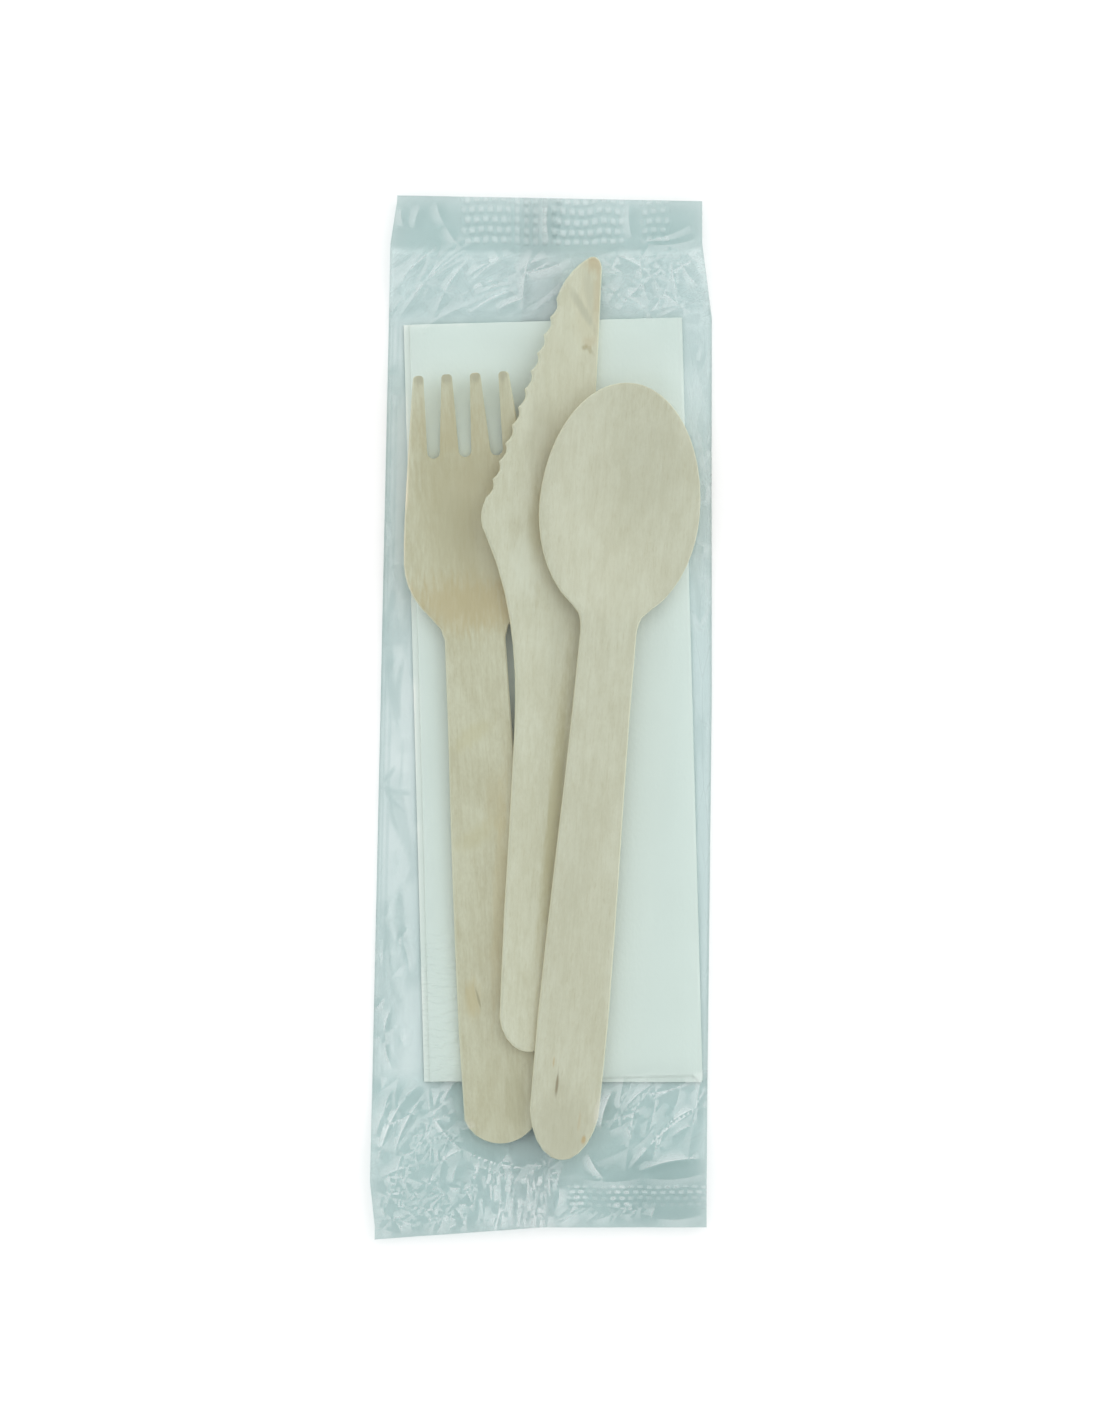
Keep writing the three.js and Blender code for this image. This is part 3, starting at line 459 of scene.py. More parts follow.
def veneer_material(name, end, turn, pale, dark, grain, figure, marks):
    """Birch on one piece, in mm from its handle end along its axis. Each mark is its middle, half size, lean
    in degrees, colour and strength."""
    material, tree, shader, _ = new_material(name)
    angle = math.radians(-turn)
    place = {
        "Vector": add(tree, "ShaderNodeTexCoord").outputs["Object"],
        "Scale": (1 / MM,) * 3,
        "Rotation": (0, 0, angle),
        "Location": -(Matrix.Rotation(angle, 3, "Z") @ Vector((*end, 0))),
    }
    position = add(tree, "ShaderNodeMapping", place).outputs[0]
    wood = add(tree, "ShaderNodeGroup", node_tree=birch)
    tree.links.new(position, wood.inputs["Position"])
    for label, value in {"Pale": pale, "Dark": dark, "Grain": grain, "Figure": figure}.items():
        wood.inputs[label].default_value = value
    colour = wood.outputs["Color"]
    for middle, half, lean, tone, strength in marks:
        mark = add(tree, "ShaderNodeGroup", node_tree=wood_mark)
        tree.links.new(position, mark.inputs["Position"])
        mark.inputs["Middle"].default_value = (*middle, 0)
        mark.inputs["Half Size"].default_value = (*half, 1)
        mark.inputs["Lean"].default_value = math.radians(lean)
        share = calculate(tree, "MULTIPLY", mark.outputs[0], strength)
        colour = blend(tree, share, colour, tone)

    # Cut edges and their rims are paler: partly the paler, rougher section of the veneer, partly a painted
    # highlight
    normal = add(tree, "ShaderNodeNewGeometry").outputs["Normal"]
    upright = calculate(tree, "ABSOLUTE", add(tree, "ShaderNodeSeparateXYZ", {0: normal}).outputs["Z"])
    cut = fade(tree, upright, 0.95, 0.5)
    colour = blend(tree, calculate(tree, "MULTIPLY", cut, 0.7), colour, PALE_CUT_EDGE_AND_RIM_HIGHLIGHT)
    tree.links.new(colour, shader.inputs["Base Color"])
    tree.links.new(wood.outputs["Roughness"], shader.inputs["Roughness"])
    bump = {"Strength": 0.3, "Distance": BIRCH_RELIEF * MM, "Height": wood.outputs["Height"]}
    bump = add(tree, "ShaderNodeBump", bump)
    tree.links.new(bump.outputs[0], shader.inputs["Normal"])
    shader.inputs["Specular IOR Level"].default_value = 0.3
    return material


def finish_veneer(piece, node, material):
    """The last steps that the three pieces of cutlery share."""
    piece.data.materials.append(material)
    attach(piece, "root")
    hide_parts(node)


PRESSED = (0.61, 0.505, 0.32, 1)
SCORCHED = (0.65, 0.49, 0.275, 1)
FORK_CRACK = (0.45, 0.37, 0.24, 1)
YELLOWED_AND_PAINTED_SHADE = (0.70, 0.54, 0.30, 1)
FAINT_YELLOW = (0.70, 0.59, 0.36, 1)
DISH_SHADE = (0.55, 0.47, 0.30, 1)
TINE_TIP = (0.5, 0.43, 0.31, 1)
FORK_MARKS = [
    ((0, 129), (19, 36), 0, PRESSED, 0.6),
    ((0, 10), (7, 16), 0, PRESSED, 0.2),
    # Painted shade in the head beside the knife
    ((-2, 127.4), (7, 9), 0, DISH_SHADE, 0.25),
    # Painted light: a paler patch on the head where the knife's shadow falls
    ((4, 125), (4, 13), 0, FORK_PALE, 0.4),
    *(((tine, 157.8), (1.5, 2.0), 0, TINE_TIP, 0.55) for tine in (-8.5, -2.9, 2.85, 8.6)),
    ((-1, 111), (20, 8), 6, SCORCHED, 0.6),
    ((-3, 148), (12, 9), 0, SCORCHED, 0.22),
    ((-1.6, 84.2), (6.5, 2.8), -36, FAINT_YELLOW, 0.42),
    ((-1.6, 63.7), (7.5, 3.0), -31, FAINT_YELLOW, 0.36),
    ((2.5, 70), (3.5, 9), 0, YELLOWED_AND_PAINTED_SHADE, 0.2),
    ((-4.6, 30), (2.4, 6), 0, YELLOWED_AND_PAINTED_SHADE, 0.55),
    # Painted shade along the right edge of the handle, beside the knife
    ((2.2, 52), (1.9, 34), 5.6, YELLOWED_AND_PAINTED_SHADE, 0.35),
    # Painted shade at the right of the handle's end
    ((3.2, 9.5), (3, 10), 0, DISH_SHADE, 0.4),
    ((-3.4, 30.3), (0.35, 3.2), -12, FORK_CRACK, 0.75),
]
fork = merged_copy("fork", "birch_fork")
fork_wood = (FORK_PALE, FORK_DARK, FORK_GRAIN, FORK_FIGURE)
finish_veneer(fork, "fork", veneer_material("fork_birch", FORK_END, FORK_TURN, *fork_wood, FORK_MARKS))

# Knife
# A flat blank of the same veneer with a scalloped edge, cut without pressing, so it stays pale.
# It lies over the fork's head and under the spoon, with a small knot and a band of figure near the tip.
KNIFE_END = (-2.76, -68.72)
KNIFE_TURN = -2.92
KNIFE_PALE = (0.845, 0.765, 0.61, 1)
KNIFE_DARK = (0.75, 0.665, 0.50, 1)
KNIFE_GRAIN = 1.5
KNIFE_FIGURE = 1.5
KNOT = (0.47, 0.36, 0.19, 1)
TOASTED = (0.68, 0.52, 0.33, 1)
FIGURE_BAND = (0.66, 0.59, 0.45, 1)
BLADE_SHADE = (0.60, 0.52, 0.38, 1)
KNIFE_PAINTED_LIGHT = (0.93, 0.86, 0.715, 1)
WARM_TIP = (0.80, 0.665, 0.46, 1)
SPOON_SHADE = (0.59, 0.49, 0.28, 1)
BROWNED = (0.55, 0.43, 0.26, 1)
KNIFE_MARKS = [
    # Painted shade where the spoon shades the blade
    ((-3.5, 126), (4.5, 13), 0, BLADE_SHADE, 0.4),
    # Painted light: a paler patch on the neck, lifting the shadow that the spoon casts there
    ((-5.5, 100), (4, 9), 0, KNIFE_PAINTED_LIGHT, 0.6),
    ((5, 152), (4.5, 10), 0, WARM_TIP, 0.3),
    ((3.5, 153.3), (1.2, 7), -33, FIGURE_BAND, 0.9),
    ((4.9, 156.5), (1.5, 7), -9, FIGURE_BAND, 0.6),
    ((4.5, 145.2), (0.9, 0.9), 0, KNOT, 0.6),
    ((5.7, 144.7), (0.7, 1.9), -37, KNOT, 0.45),
    ((5.4, 146.4), (2.2, 1.6), 0, TOASTED, 0.35),
    ((5.6, 162.8), (2.6, 3.2), 0, TOASTED, 0.75),
    ((6.6, 156), (1.2, 9), 0, TOASTED, 0.45),
    ((4.8, 165.2), (5, 2.6), 0, BROWNED, 0.6),
    ((2, 90), (3, 22), 0, FIGURE_BAND, 0.25),
    # Painted shade beside the spoon's handle and along the left of its bowl
    ((3.1, 50), (2.2, 40), 2.6, SPOON_SHADE, 0.6),
    ((-3.4, 109), (2.4, 12), 0, SPOON_SHADE, 0.4),
]
knife = merged_copy("knife", "birch_knife")
knife_wood = (KNIFE_PALE, KNIFE_DARK, KNIFE_GRAIN, KNIFE_FIGURE)
finish_veneer(knife, "knife", veneer_material("knife_birch", KNIFE_END, KNIFE_TURN, *knife_wood, KNIFE_MARKS))

# Spoon
# Another blank of veneer, with an oval bowl pressed into it. It lies on top of the knife and the fork.
# The grain shows most at the end of the handle, with a dark fleck and a small burnt spot.
SPOON_END = (3.89, -90.92)
SPOON_TURN = -5.31
SPOON_PALE = (0.81, 0.73, 0.58, 1)
SPOON_DARK = (0.72, 0.635, 0.48, 1)
SPOON_GRAIN = 1.5
SPOON_FIGURE = 1.5
FLECK = (0.38, 0.29, 0.19, 1)
BURNT = (0.66, 0.43, 0.2, 1)
SPOON_MARKS = [
    ((0, 6), (9, 13), 0, BLADE_SHADE, 0.45),
    ((-1.9, 15.6), (0.42, 3.6), 0, FLECK, 0.9),
    ((-3.0, 20.0), (0.3, 1.6), 0, BURNT, 0.5),
    ((4.6, 4.6), (0.7, 1.2), 20, BURNT, 0.7),
    ((3.4, 8.0), (0.5, 3.0), 0, BURNT, 0.25),
    ((4, 142), (9, 14), 0, FIGURE_BAND, 0.2),
    ((-2, 60), (4, 18), 0, FIGURE_BAND, 0.16),
]
spoon = merged_copy("spoon", "birch_spoon")
spoon_wood = (SPOON_PALE, SPOON_DARK, SPOON_GRAIN, SPOON_FIGURE)
finish_veneer(spoon, "spoon", veneer_material("spoon_birch", SPOON_END, SPOON_TURN, *spoon_wood, SPOON_MARKS))

# Film wrapper
# One sheet of thin clear film, formed into a flat tube round the contents. Its long edges are sealed in a
# fin on the back, folded flat, and each end is pressed in a crimped seal. The slack film is crumpled.
FILM_LEFT_ROOM = 6.9
FILM_RIGHT_ROOM = 1.9
FILM_LEFT_LEAN = 4.2
FILM_HEAD_DRAW = 2
FILM_FOOT_DRAW = 1.1
HEAD_ROOM = 2.8
HEAD_CRIMP = 8.8
HEAD_ROW_SPREAD = 1.45
HEAD_SLANT = 1.2
HEAD_SAG = 1.3
FOOT_ROOM = 4.9
FOOT_CRIMP = 9.4
FOOT_SLANT = 2.5
END_TAPER = 1.2
CRIMP_LIFT = 2
FIN_X = 4.1
FIN_WIDTH = 9
FILM_CLEARANCE = 0.25
FILM_SAG = 0.012
SIDE_HEIGHT = 0.9
DRAPE_STEP = 0.8
DRAPE_PASSES = 2500
DRAPE_MARGINS = (10, 6)
TIGHT_STEPS = 4
TIGHT_SHARE = 0.8
FAR_OFF = 50
BACK_LEVEL = 0.03
FIN_LEVELS = (0.1, 0.17)
FILM_FLAT = (160, 215)

contents = ("napkin", "fork", "knife", "spoon")
boxes = {node: [np.array(corner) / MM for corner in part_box(node)] for node in contents}
contents_low = np.min([low for low, _ in boxes.values()], axis=0)
contents_high = np.max([high for _, high in boxes.values()], axis=0)
napkin_low, napkin_high = boxes["napkin"]
head_seal = contents_high[1] + HEAD_ROOM
foot_seal = contents_low[1] - FOOT_ROOM
napkin_middle = (napkin_low[1] + napkin_high[1]) / 2


def left_edge(y):
    """Where the left side of the film lies at a place along the pack."""
    share = (y - foot_seal) / (head_seal - foot_seal)
    past_head = np.clip((y - head_seal) / HEAD_CRIMP, 0, 1)
    past_foot = np.clip((foot_seal - y) / FOOT_CRIMP, 0, 1)
    straight = contents_low[0] - FILM_LEFT_ROOM + FILM_LEFT_LEAN * share
    return straight + END_TAPER * (past_head + past_foot)


def right_edge(y):
    """Where the right side of the film lies at a place along the pack."""
    to_head = np.clip((y - napkin_high[1]) / (head_seal - napkin_high[1]), 0, 1)
    to_foot = np.clip((napkin_middle - y) / (napkin_middle - foot_seal), 0, 1)
    return contents_high[0] + FILM_RIGHT_ROOM - FILM_HEAD_DRAW * to_head - FILM_FOOT_DRAW * to_foot


def smooth_step(value, start, end):
    """A smooth step from 0 at start to 1 at end."""
    share = np.clip((value - start) / (end - start), 0, 1)
    return share * share * (3 - 2 * share)


def band(value, start, full, fading, end):
    """A smooth band: it rises from start to full and falls from fading to end."""
    return smooth_step(value, start, full) * smooth_step(value, end, fading)


def contents_tree():
    """The solids inside the film, to be felt for from above and below, in mm."""
    points, triangles = [], []
    for node in contents:
        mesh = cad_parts[node].data
        start = len(points)
        points += [vertex.co / MM for vertex in mesh.vertices]
        triangles += [[start + k for k in face.vertices] for face in mesh.polygons]
    return BVHTree.FromPolygons(points, triangles)


def drape():
    """The film's taut shape over the contents: grid places, its height there, how slack and how bare it is,
    and the lowest underside of the contents in each row."""
    tree = contents_tree()
    x = np.arange(contents_low[0] - DRAPE_MARGINS[0], contents_high[0] + DRAPE_MARGINS[1], DRAPE_STEP)
    y = np.arange(foot_seal, head_seal + DRAPE_STEP, DRAPE_STEP)
    top = np.zeros((len(y), len(x)))
    under = np.full((len(y), len(x)), np.inf)
    for row, along in enumerate(y):
        for column, across in enumerate(x):
            hit = tree.ray_cast(Vector((across, along, FAR_OFF)), Vector((0, 0, -1)))[0]
            if hit:
                top[row, column] = hit.z
                hit = tree.ray_cast(Vector((across, along, -FAR_OFF)), Vector((0, 0, 1)))[0]
                under[row, column] = hit.z

    def widest(field, pick):
        padded = np.pad(field, 1, mode="edge")
        rows, columns = field.shape
        parts = [padded[r:r + rows, c:c + columns] for r in range(3) for c in range(3)]
        return pick(parts, axis=0)

    covered = (top > 0).astype(float)
    rest = np.where(widest(covered, np.max) > 0, widest(top, np.max) + FILM_CLEARANCE, 0)
    gx, gy = np.meshgrid(x, y)
    outside = (gx < left_edge(gy)) | (gx > right_edge(gy))
    height = np.maximum(rest, SIDE_HEIGHT)
    seal_height = CRIMP_LIFT + 0.2
    for _ in range(DRAPE_PASSES):
        pulled = np.pad(height, 1, mode="edge")
        pulled = (pulled[:-2, 1:-1] + pulled[2:, 1:-1] + pulled[1:-1, :-2] + pulled[1:-1, 2:]) / 4
        height = np.maximum(np.maximum(rest, SIDE_HEIGHT), pulled - FILM_SAG)
        height[outside] = SIDE_HEIGHT
        height[0] = height[-1] = seal_height

    # Film is slack and bare where nothing lies under it, and close to the handles it is drawn tight
    beside = (top > napkin_high[2] + 0.2) * (y[:, None] < 0)
    for _ in range(TIGHT_STEPS):
        beside = widest(beside, np.max)
    free = np.minimum(1 - covered, 1 - TIGHT_SHARE * widest(beside, np.mean))
    slack = widest(widest(free, np.min), np.mean)
    bare = np.clip(2.2 * widest(free, np.mean) - 0.72, 0, 1)
    return x, y, height, slack, bare, np.min(widest(under, np.min), axis=1)


def on_grid(x, y, field, px, py):
    """A field read between its grid places."""
    column = np.clip((px - x[0]) / DRAPE_STEP, 0, len(x) - 1.001)
    row = np.clip((py - y[0]) / DRAPE_STEP, 0, len(y) - 1.001)
    c, r = column.astype(int), row.astype(int)
    u, v = column - c, row - r
    lower = field[r, c] * (1 - u) + field[r, c + 1] * u
    upper = field[r + 1, c] * (1 - u) + field[r + 1, c + 1] * u
    return lower * (1 - v) + upper * v


def crumple(x, y, seed, size, stretch, lean, height):
    """Facets of crumpled film: scattered points at random heights, joined by flat triangles.
    size is the width of a facet in mm, and stretch how many times as long it is, along lean in degrees."""
    random = np.random.default_rng(seed)
    turn = math.radians(lean)
    u = (x * math.cos(turn) + y * math.sin(turn)) / (size * stretch)
    v = (y * math.cos(turn) - x * math.sin(turn)) / size
    columns = np.arange(math.floor(u.min()) - 2, math.ceil(u.max()) + 3)
    rows = np.arange(math.floor(v.min()) - 2, math.ceil(v.max()) + 3)
    lattice = np.stack(np.meshgrid(columns, rows), axis=-1).reshape(-1, 2)
    places = lattice + random.uniform(-0.48, 0.48, lattice.shape)
    heights = random.uniform(-1, 1, len(places)) * height
    flat = [Vector(place) for place in places]
    _, _, faces, sources, _, _ = delaunay_2d_cdt(flat, [], [], 0, 1e-6)
    raised = [Vector((*places[source[0]], heights[source[0]])) for source in sources]
    tree = BVHTree.FromPolygons(raised, faces)
    down = Vector((0, 0, -1))
    found = [tree.ray_cast(Vector((a, b, FAR_OFF)), down)[0].z for a, b in zip(u.ravel(), v.ravel())]
    return np.array(found).reshape(x.shape)


def crease_frame(x, y, start, end):
    """Places beside a slightly bowed crease: the distance to its side in mm, and a share that fades out to
    its ends."""
    dx, dy = end[0] - start[0], end[1] - start[1]
    length = math.hypot(dx, dy)
    along = ((x - start[0]) * dx + (y - start[1]) * dy) / length**2
    across = ((x - start[0]) * dy - (y - start[1]) * dx) / length
    arch = np.sin(np.pi * np.clip(along, 0, 1))
    return across - 0.06 * length * arch, np.sqrt(arch)


def crease(x, y, start, end, height, width):
    """The height of one fold of film from start to end: sharp along its line, fading to its sides."""
    side, ends = crease_frame(x, y, start, end)
    return height * ends * np.clip(1 - np.abs(side) / width, 0, 1) ** 1.5


# Crumpled film at the head and at the foot, each from left to right, then in the margins, on the back and in
# the seals, and the patches of doubled and of pale film, whose height is a share: a seed, the width of a
# facet in mm, its stretch, its lean in degrees and its height in mm
HEAD_CRUMPLES = ((25, 3.4, 1.8, 45, 0.9), (24, 3.4, 2.2, 24, 1.0), (22, 3.0, 1.3, 20, 0.95))
FOOT_CRUMPLES = ((31, 3.0, 1.7, 62, 1.0), (32, 1.6, 4.0, 88, 0.45), (33, 3.8, 2.0, 52, 1.1))
MARGIN_CRUMPLE = (41, 2.2, 6, 90, 0.45)
BACK_CRUMPLE = (11, 2.6, 2.2, 70, 0.5)
SEAL_GATHERS = (51, 1.5, 5, 90, 0.22)
SEAL_WAVES = (52, 6, 1.6, 15, 0.35)
DOUBLED_PATCHES = (43, 2.2, 3.5, 91, 1.0)
PALE_PATCHES = (44, 4.5, 1.8, 62, 1.0)

# Small facets in each part of the film: a place to count from, their lean in degrees, their width in mm,
# their stretch, how far they tilt, how soft they are and how white the creases between them
FACETS = {
    "head left": ((-22, 90), 47, 1.2, 3.5, 0.26, 0.7, 0.12),
    "head middle": ((-5, 90), 24, 1.7, 2.4, 0.3, 0.8, 0.1),
    "head right": ((24, 90), 20, 1.5, 1.6, 0.28, 0.5, 0.2),
    "foot left": ((-26, -86), 62, 1.8, 2.0, 0.2, 0.3, 0.1),
    "foot middle": ((-5, -95), 88, 0.9, 4.0, 0.25, 0.3, 0.1),
    "foot right": ((24, -86), 52, 2.4, 2.0, 0.2, 0.2, 0.1),
    "foot seal left": ((-26, -100), 38, 1.2, 1.6, 0.25, 0.2, 0.1),
    "foot seal middle": ((-5, -100), 86, 0.8, 3.2, 0.25, 0.2, 0.1),
    "left margin": ((-32, 0), 88, 1.3, 5.0, 0.2, 0.8, 0.05),
    "right margin": ((33, 0), 91, 0.9, 7.0, 0.18, 0.5, 0.1),
}

# Folds that stand up from the film: start, end, height and reach to the sides, in mm
HEAD_CREASES = [
    ((-15.2, 96.1), (-29, 82.4), 1.1, 2.2),
    ((-18.1, 95.2), (-25.7, 86.2), 0.8, 1.5),
    ((-14.3, 94.7), (-21.9, 82.4), 0.9, 1.8),
    ((-20.9, 96.6), (-29.9, 88.1), 0.8, 1.6),
    ((-5.8, 95.2), (-15.2, 90.5), 0.9, 2.0),
    ((-6.7, 90.5), (-16.2, 86.7), 1.2, 2.2),
    ((-4.8, 88.1), (-14.8, 82.9), 0.8, 1.8),
    ((-1.5, 96.5), (-3.5, 84), 0.7, 1.6),
    ((23.1, 90.5), (15, 95.4), 0.9, 1.8),
    ((23.1, 90.5), (32.5, 95.2), 1.0, 1.8),
    ((23.1, 90.5), (31.1, 83.4), 1.0, 2.0),
    ((23.1, 90.5), (16, 83.4), 0.9, 1.8),
    ((20.7, 96.6), (22.5, 85), 0.7, 1.5),
    ((27, 96), (29, 86), 0.6, 1.4),
]
FOOT_CREASES = [
    ((-27.6, -78), (-33.3, -91.3), 1.0, 2.2),
    ((-24.5, -78.6), (-30, -90), 0.7, 1.6),
    ((-22.9, -80.4), (-16.3, -88.9), 1.1, 1.8),
    ((-15.8, -88.9), (-22, -92.6), 1.0, 1.8),
    ((-15.8, -88.9), (-2.0, -92.6), 1.2, 2.2),
    ((-12, -91), (-13.5, -96), 0.8, 1.4),
    ((20.7, -78), (18.3, -87.5), 1.0, 1.8),
    ((33.6, -79.9), (18.3, -93), 1.3, 2.2),
    ((32, -80.4), (25.9, -84.2), 0.8, 1.6),
    ((25.9, -84.2), (24.4, -89), 0.8, 1.5),
    ((15, -76.5), (12.4, -84.5), 0.8, 1.6),
    ((9.8, -89.5), (13.1, -95), 0.9, 1.6),
    ((21.6, -77.4), (30.1, -75.2), 0.7, 1.4),
    ((33, -90.8), (20.2, -93.4), 0.7, 1.4),
]
MARGIN_CREASES = [
    ((-34.4, -13.6), (-26.4, -15.6), 0.9, 1.0),
    ((-33, -13.4), (-29.8, -10), 0.5, 0.8),
    ((-32.2, -14.4), (-27.4, -19.8), 0.6, 0.9),
    ((-31, -15.5), (-29, -24), 0.4, 0.9),
    ((-29.6, 30), (-29.2, -2), 0.3, 1.7),
    ((-28.2, 12), (-29, -1), 0.3, 1.0),
    ((-31.3, 62), (-30.2, 36), 0.4, 1.4),
    ((-28.8, -34), (-26.8, -51), 0.5, 1.6),
    ((-31.4, -40), (-30, -56), 0.4, 1.2),
    ((-31, -52), (-28.2, -60), 0.4, 1.3),
    ((-30.4, -60), (-31.6, -72), 0.5, 1.5),
    ((33.8, 70), (34, 20), 0.4, 0.8),
    ((33.2, 10), (33.8, -60), 0.4, 0.8),
    ((32.2, 79), (34.2, 77), 0.5, 0.9),
]

# Creases pressed flat in the seals: start and end
SEAL_CREASES = [
    ((-21.4, 106.1), (-19.6, 101.3)),
    ((-19.6, 101.3), (-16.2, 96.8)),
    ((-24.5, 105.5), (-26, 100.5)),
    ((-28.6, 105), (-28.2, 101)),
    ((1.6, 106), (2.0, 97.5)),
    ((18.4, 105.8), (18.9, 98.5)),
    ((20.7, 98.2), (31.1, 101.4)),
    ((22, 97.4), (32.4, 98.6)),
    ((8.5, -95), (21, -94.8)),
    ((21, -94.8), (33.9, -93.9)),
    ((-33.6, -104.6), (-30.2, -106)),
    ((-33.9, -97.4), (-27, -99.4)),
    ((-32, -101.8), (-28.5, -104.4)),
    ((-29.5, -93.5), (-21, -96.5)),
    ((-27, -99.5), (-20.5, -97.8)),
    ((-24.5, -104.5), (-17.5, -101)),
    ((-14.2, -94.4), (-13.4, -101)),
    ((-11.2, -95.5), (-11.6, -103.5)),
    ((-8.0, -94.2), (-7.2, -103)),
    ((-4.8, -95.5), (-5.4, -104)),
    ((-2.0, -94.5), (-1.4, -102.5)),
    ((1.2, -95.5), (0.6, -103.5)),
    ((24, -103.2), (33.4, -102.4)),
    ((3, -103.4), (9, -100.8)),
    ((10.5, -103.6), (16.5, -101.2)),
]

# Small creases scattered over the slack film: the box they fill, how many, their lean and how far it strays
# in degrees, their shortest and longest length in mm, and how strongly they show
SCATTERED_CREASES = [
    ((-31, 82, -17, 96), 14, 47, 20, (6, 12), 0.4),
    ((-16, 83, 4, 96), 12, 24, 15, (6, 12), 0.6),
    ((14, 83, 32, 96), 22, 20, 75, (4, 9), 0.5),
    ((-33, -94, -16, -77), 48, 62, 45, (3, 8), 0.75),
    ((14, -91, 34, -77), 26, 52, 35, (5, 12), 0.75),
    ((-16, -95, 4, -91), 22, 30, 60, (2, 5), 0.7),
    ((-33, -105, -14, -95), 85, 45, 90, (1.5, 4.5), 0.88),
    ((-14, -104, 4, -94), 60, 86, 12, (2, 6), 0.95),
    ((4, -103.5, 24, -100.5), 22, 30, 60, (1.5, 4), 0.7),
    ((-34, -70, -28, 70), 34, 90, 20, (3, 9), 0.3),
    ((32, 20, 35, 80), 16, 88, 25, (3, 8), 0.3),
    ((-33.5, -76, -27.5, -38), 15, 72, 42, (3, 8), 0.75),
    ((-32.5, 5, -28.5, 78), 10, 86, 25, (4, 9), 0.5),
]

# How strongly the listed creases show, how far a crease is felt to its sides, the rows and columns of the
# sheet, and the stretches and gaps, in mm, that its layers keep
HEAD_SHARPNESS = 0.55
FOOT_SHARPNESS = 1.0
SEAL_SHARPNESS = 0.5
CREASE_REACH = 2.6
CREASE_FULL = 0.3
EDGE_LINES = (0.9, 2.0)
EDGE_LINE_WIDTH = 0.45
PINCH_ROWS = (-24, -8)
CRIMP_ROWS = 36
FRONT_COLUMNS = 225
END_INSET = 3
END_OVERLAP = 1
SAG_REACH = 8
SEAL_REACH = 2
CALM_REACH = 4
SIDE_REACH = 1.2
UNDER_GAP = 0.6
LAYER_GAP = 0.3
SEAL_LIFT = 0.1
SEAL_GAP = 0.26
LOWEST = 0.01
BACK_FACET_SHIFT = 53.7


def scattered_creases():
    """Each small crease as its start, its end and its strength."""
    random = np.random.default_rng(61)
    lines = []
    for (left, low, right, high), count, lean, stray, (shortest, longest), strength in SCATTERED_CREASES:
        for _ in range(count):
            middle = random.uniform((left, low), (right, high))
            turn = math.radians(lean + random.uniform(-stray, stray))
            half = random.uniform(shortest, longest) / 2 * np.array([math.cos(turn), math.sin(turn)])
            half *= random.choice((-1, 1))
            lines.append((middle - half, middle + half, strength * random.uniform(0.4, 1)))
    return lines


def nearest_crease(x, y):
    """How far each place lies from the nearest sharp crease, to its left or right, and how near that is."""
    lines = scattered_creases()
    lines += [(*line[:2], HEAD_SHARPNESS) for line in HEAD_CREASES]
    lines += [(*line[:2], FOOT_SHARPNESS) for line in FOOT_CREASES]
    lines += [(*line, SEAL_SHARPNESS) for line in SEAL_CREASES]
    nearest = np.full_like(x, CREASE_REACH)
    nearness = np.zeros_like(x)
    for start, end, strength in lines:
        side, ends = crease_frame(x, y, start, end)
        nearer = (ends > 0.01) & (np.abs(side) < np.abs(nearest))
        near = strength * ends * smooth_step(np.abs(side), CREASE_REACH, CREASE_FULL)
        nearest = np.where(nearer, side, nearest)
        nearness = np.where(nearer, near, nearness)
    return nearest, nearness


def film_rows():
    """The rows of the sheet from foot to head, closer at the ends and at a pinch in the left margin: where
    each starts from, and how far it lies through the foot crimp and the head crimp, from 0 to 1."""
    low, high = napkin_low[1] + END_INSET, napkin_high[1] - END_INSET
    body = np.concatenate(
        [
            np.linspace(foot_seal, low, 48),
            np.linspace(low, PINCH_ROWS[0], 36)[1:],
            np.linspace(*PINCH_ROWS, 28)[1:],
            np.linspace(PINCH_ROWS[1], high, 64)[1:-1],
            np.linspace(high, head_seal, 48),
        ]
    )
    along = np.concatenate([np.full(CRIMP_ROWS, foot_seal), body, np.full(CRIMP_ROWS, head_seal)])
    crimp = np.linspace(0, 1, CRIMP_ROWS + 1)[1:]
    others = np.zeros(len(body) + CRIMP_ROWS)
    foot = np.concatenate([crimp[::-1], others])
    head = np.concatenate([others, crimp])
    return along[:, None], foot[:, None], head[:, None]


# Places on the film in mm: where its left and right start and are reached, where stretches of it start, are
# full, are last full and end, and the middle and half width of the columns of dashes in the foot seal
LEFT_ZONE = (-12, -20)
RIGHT_ZONE = (2, 14)
SEAL_LEFT_ZONE = (-12, -16)
FOOT_GATHERS = (-34, -22, 4, 16)
HEAD_GATHERS = (-22, -14, 14, 24)
PALE_GATHERS = (-14, -10, 6, 10)
HEAD_SHINE = (-20.5, -18.5, 20, 24)
HEAD_RIBS = (-7, -5.5, 2, 3.5)
HEAD_PRINTS = ((0.9, (-17, -15, 16.5, 18)), (0.8, (20, 22, 26, 27)))
FLAT_BAND = (-96, -95, -91.3, -90.3)
DASH_COLUMNS = ((7.5, 2.2), (16.4, 2.6))


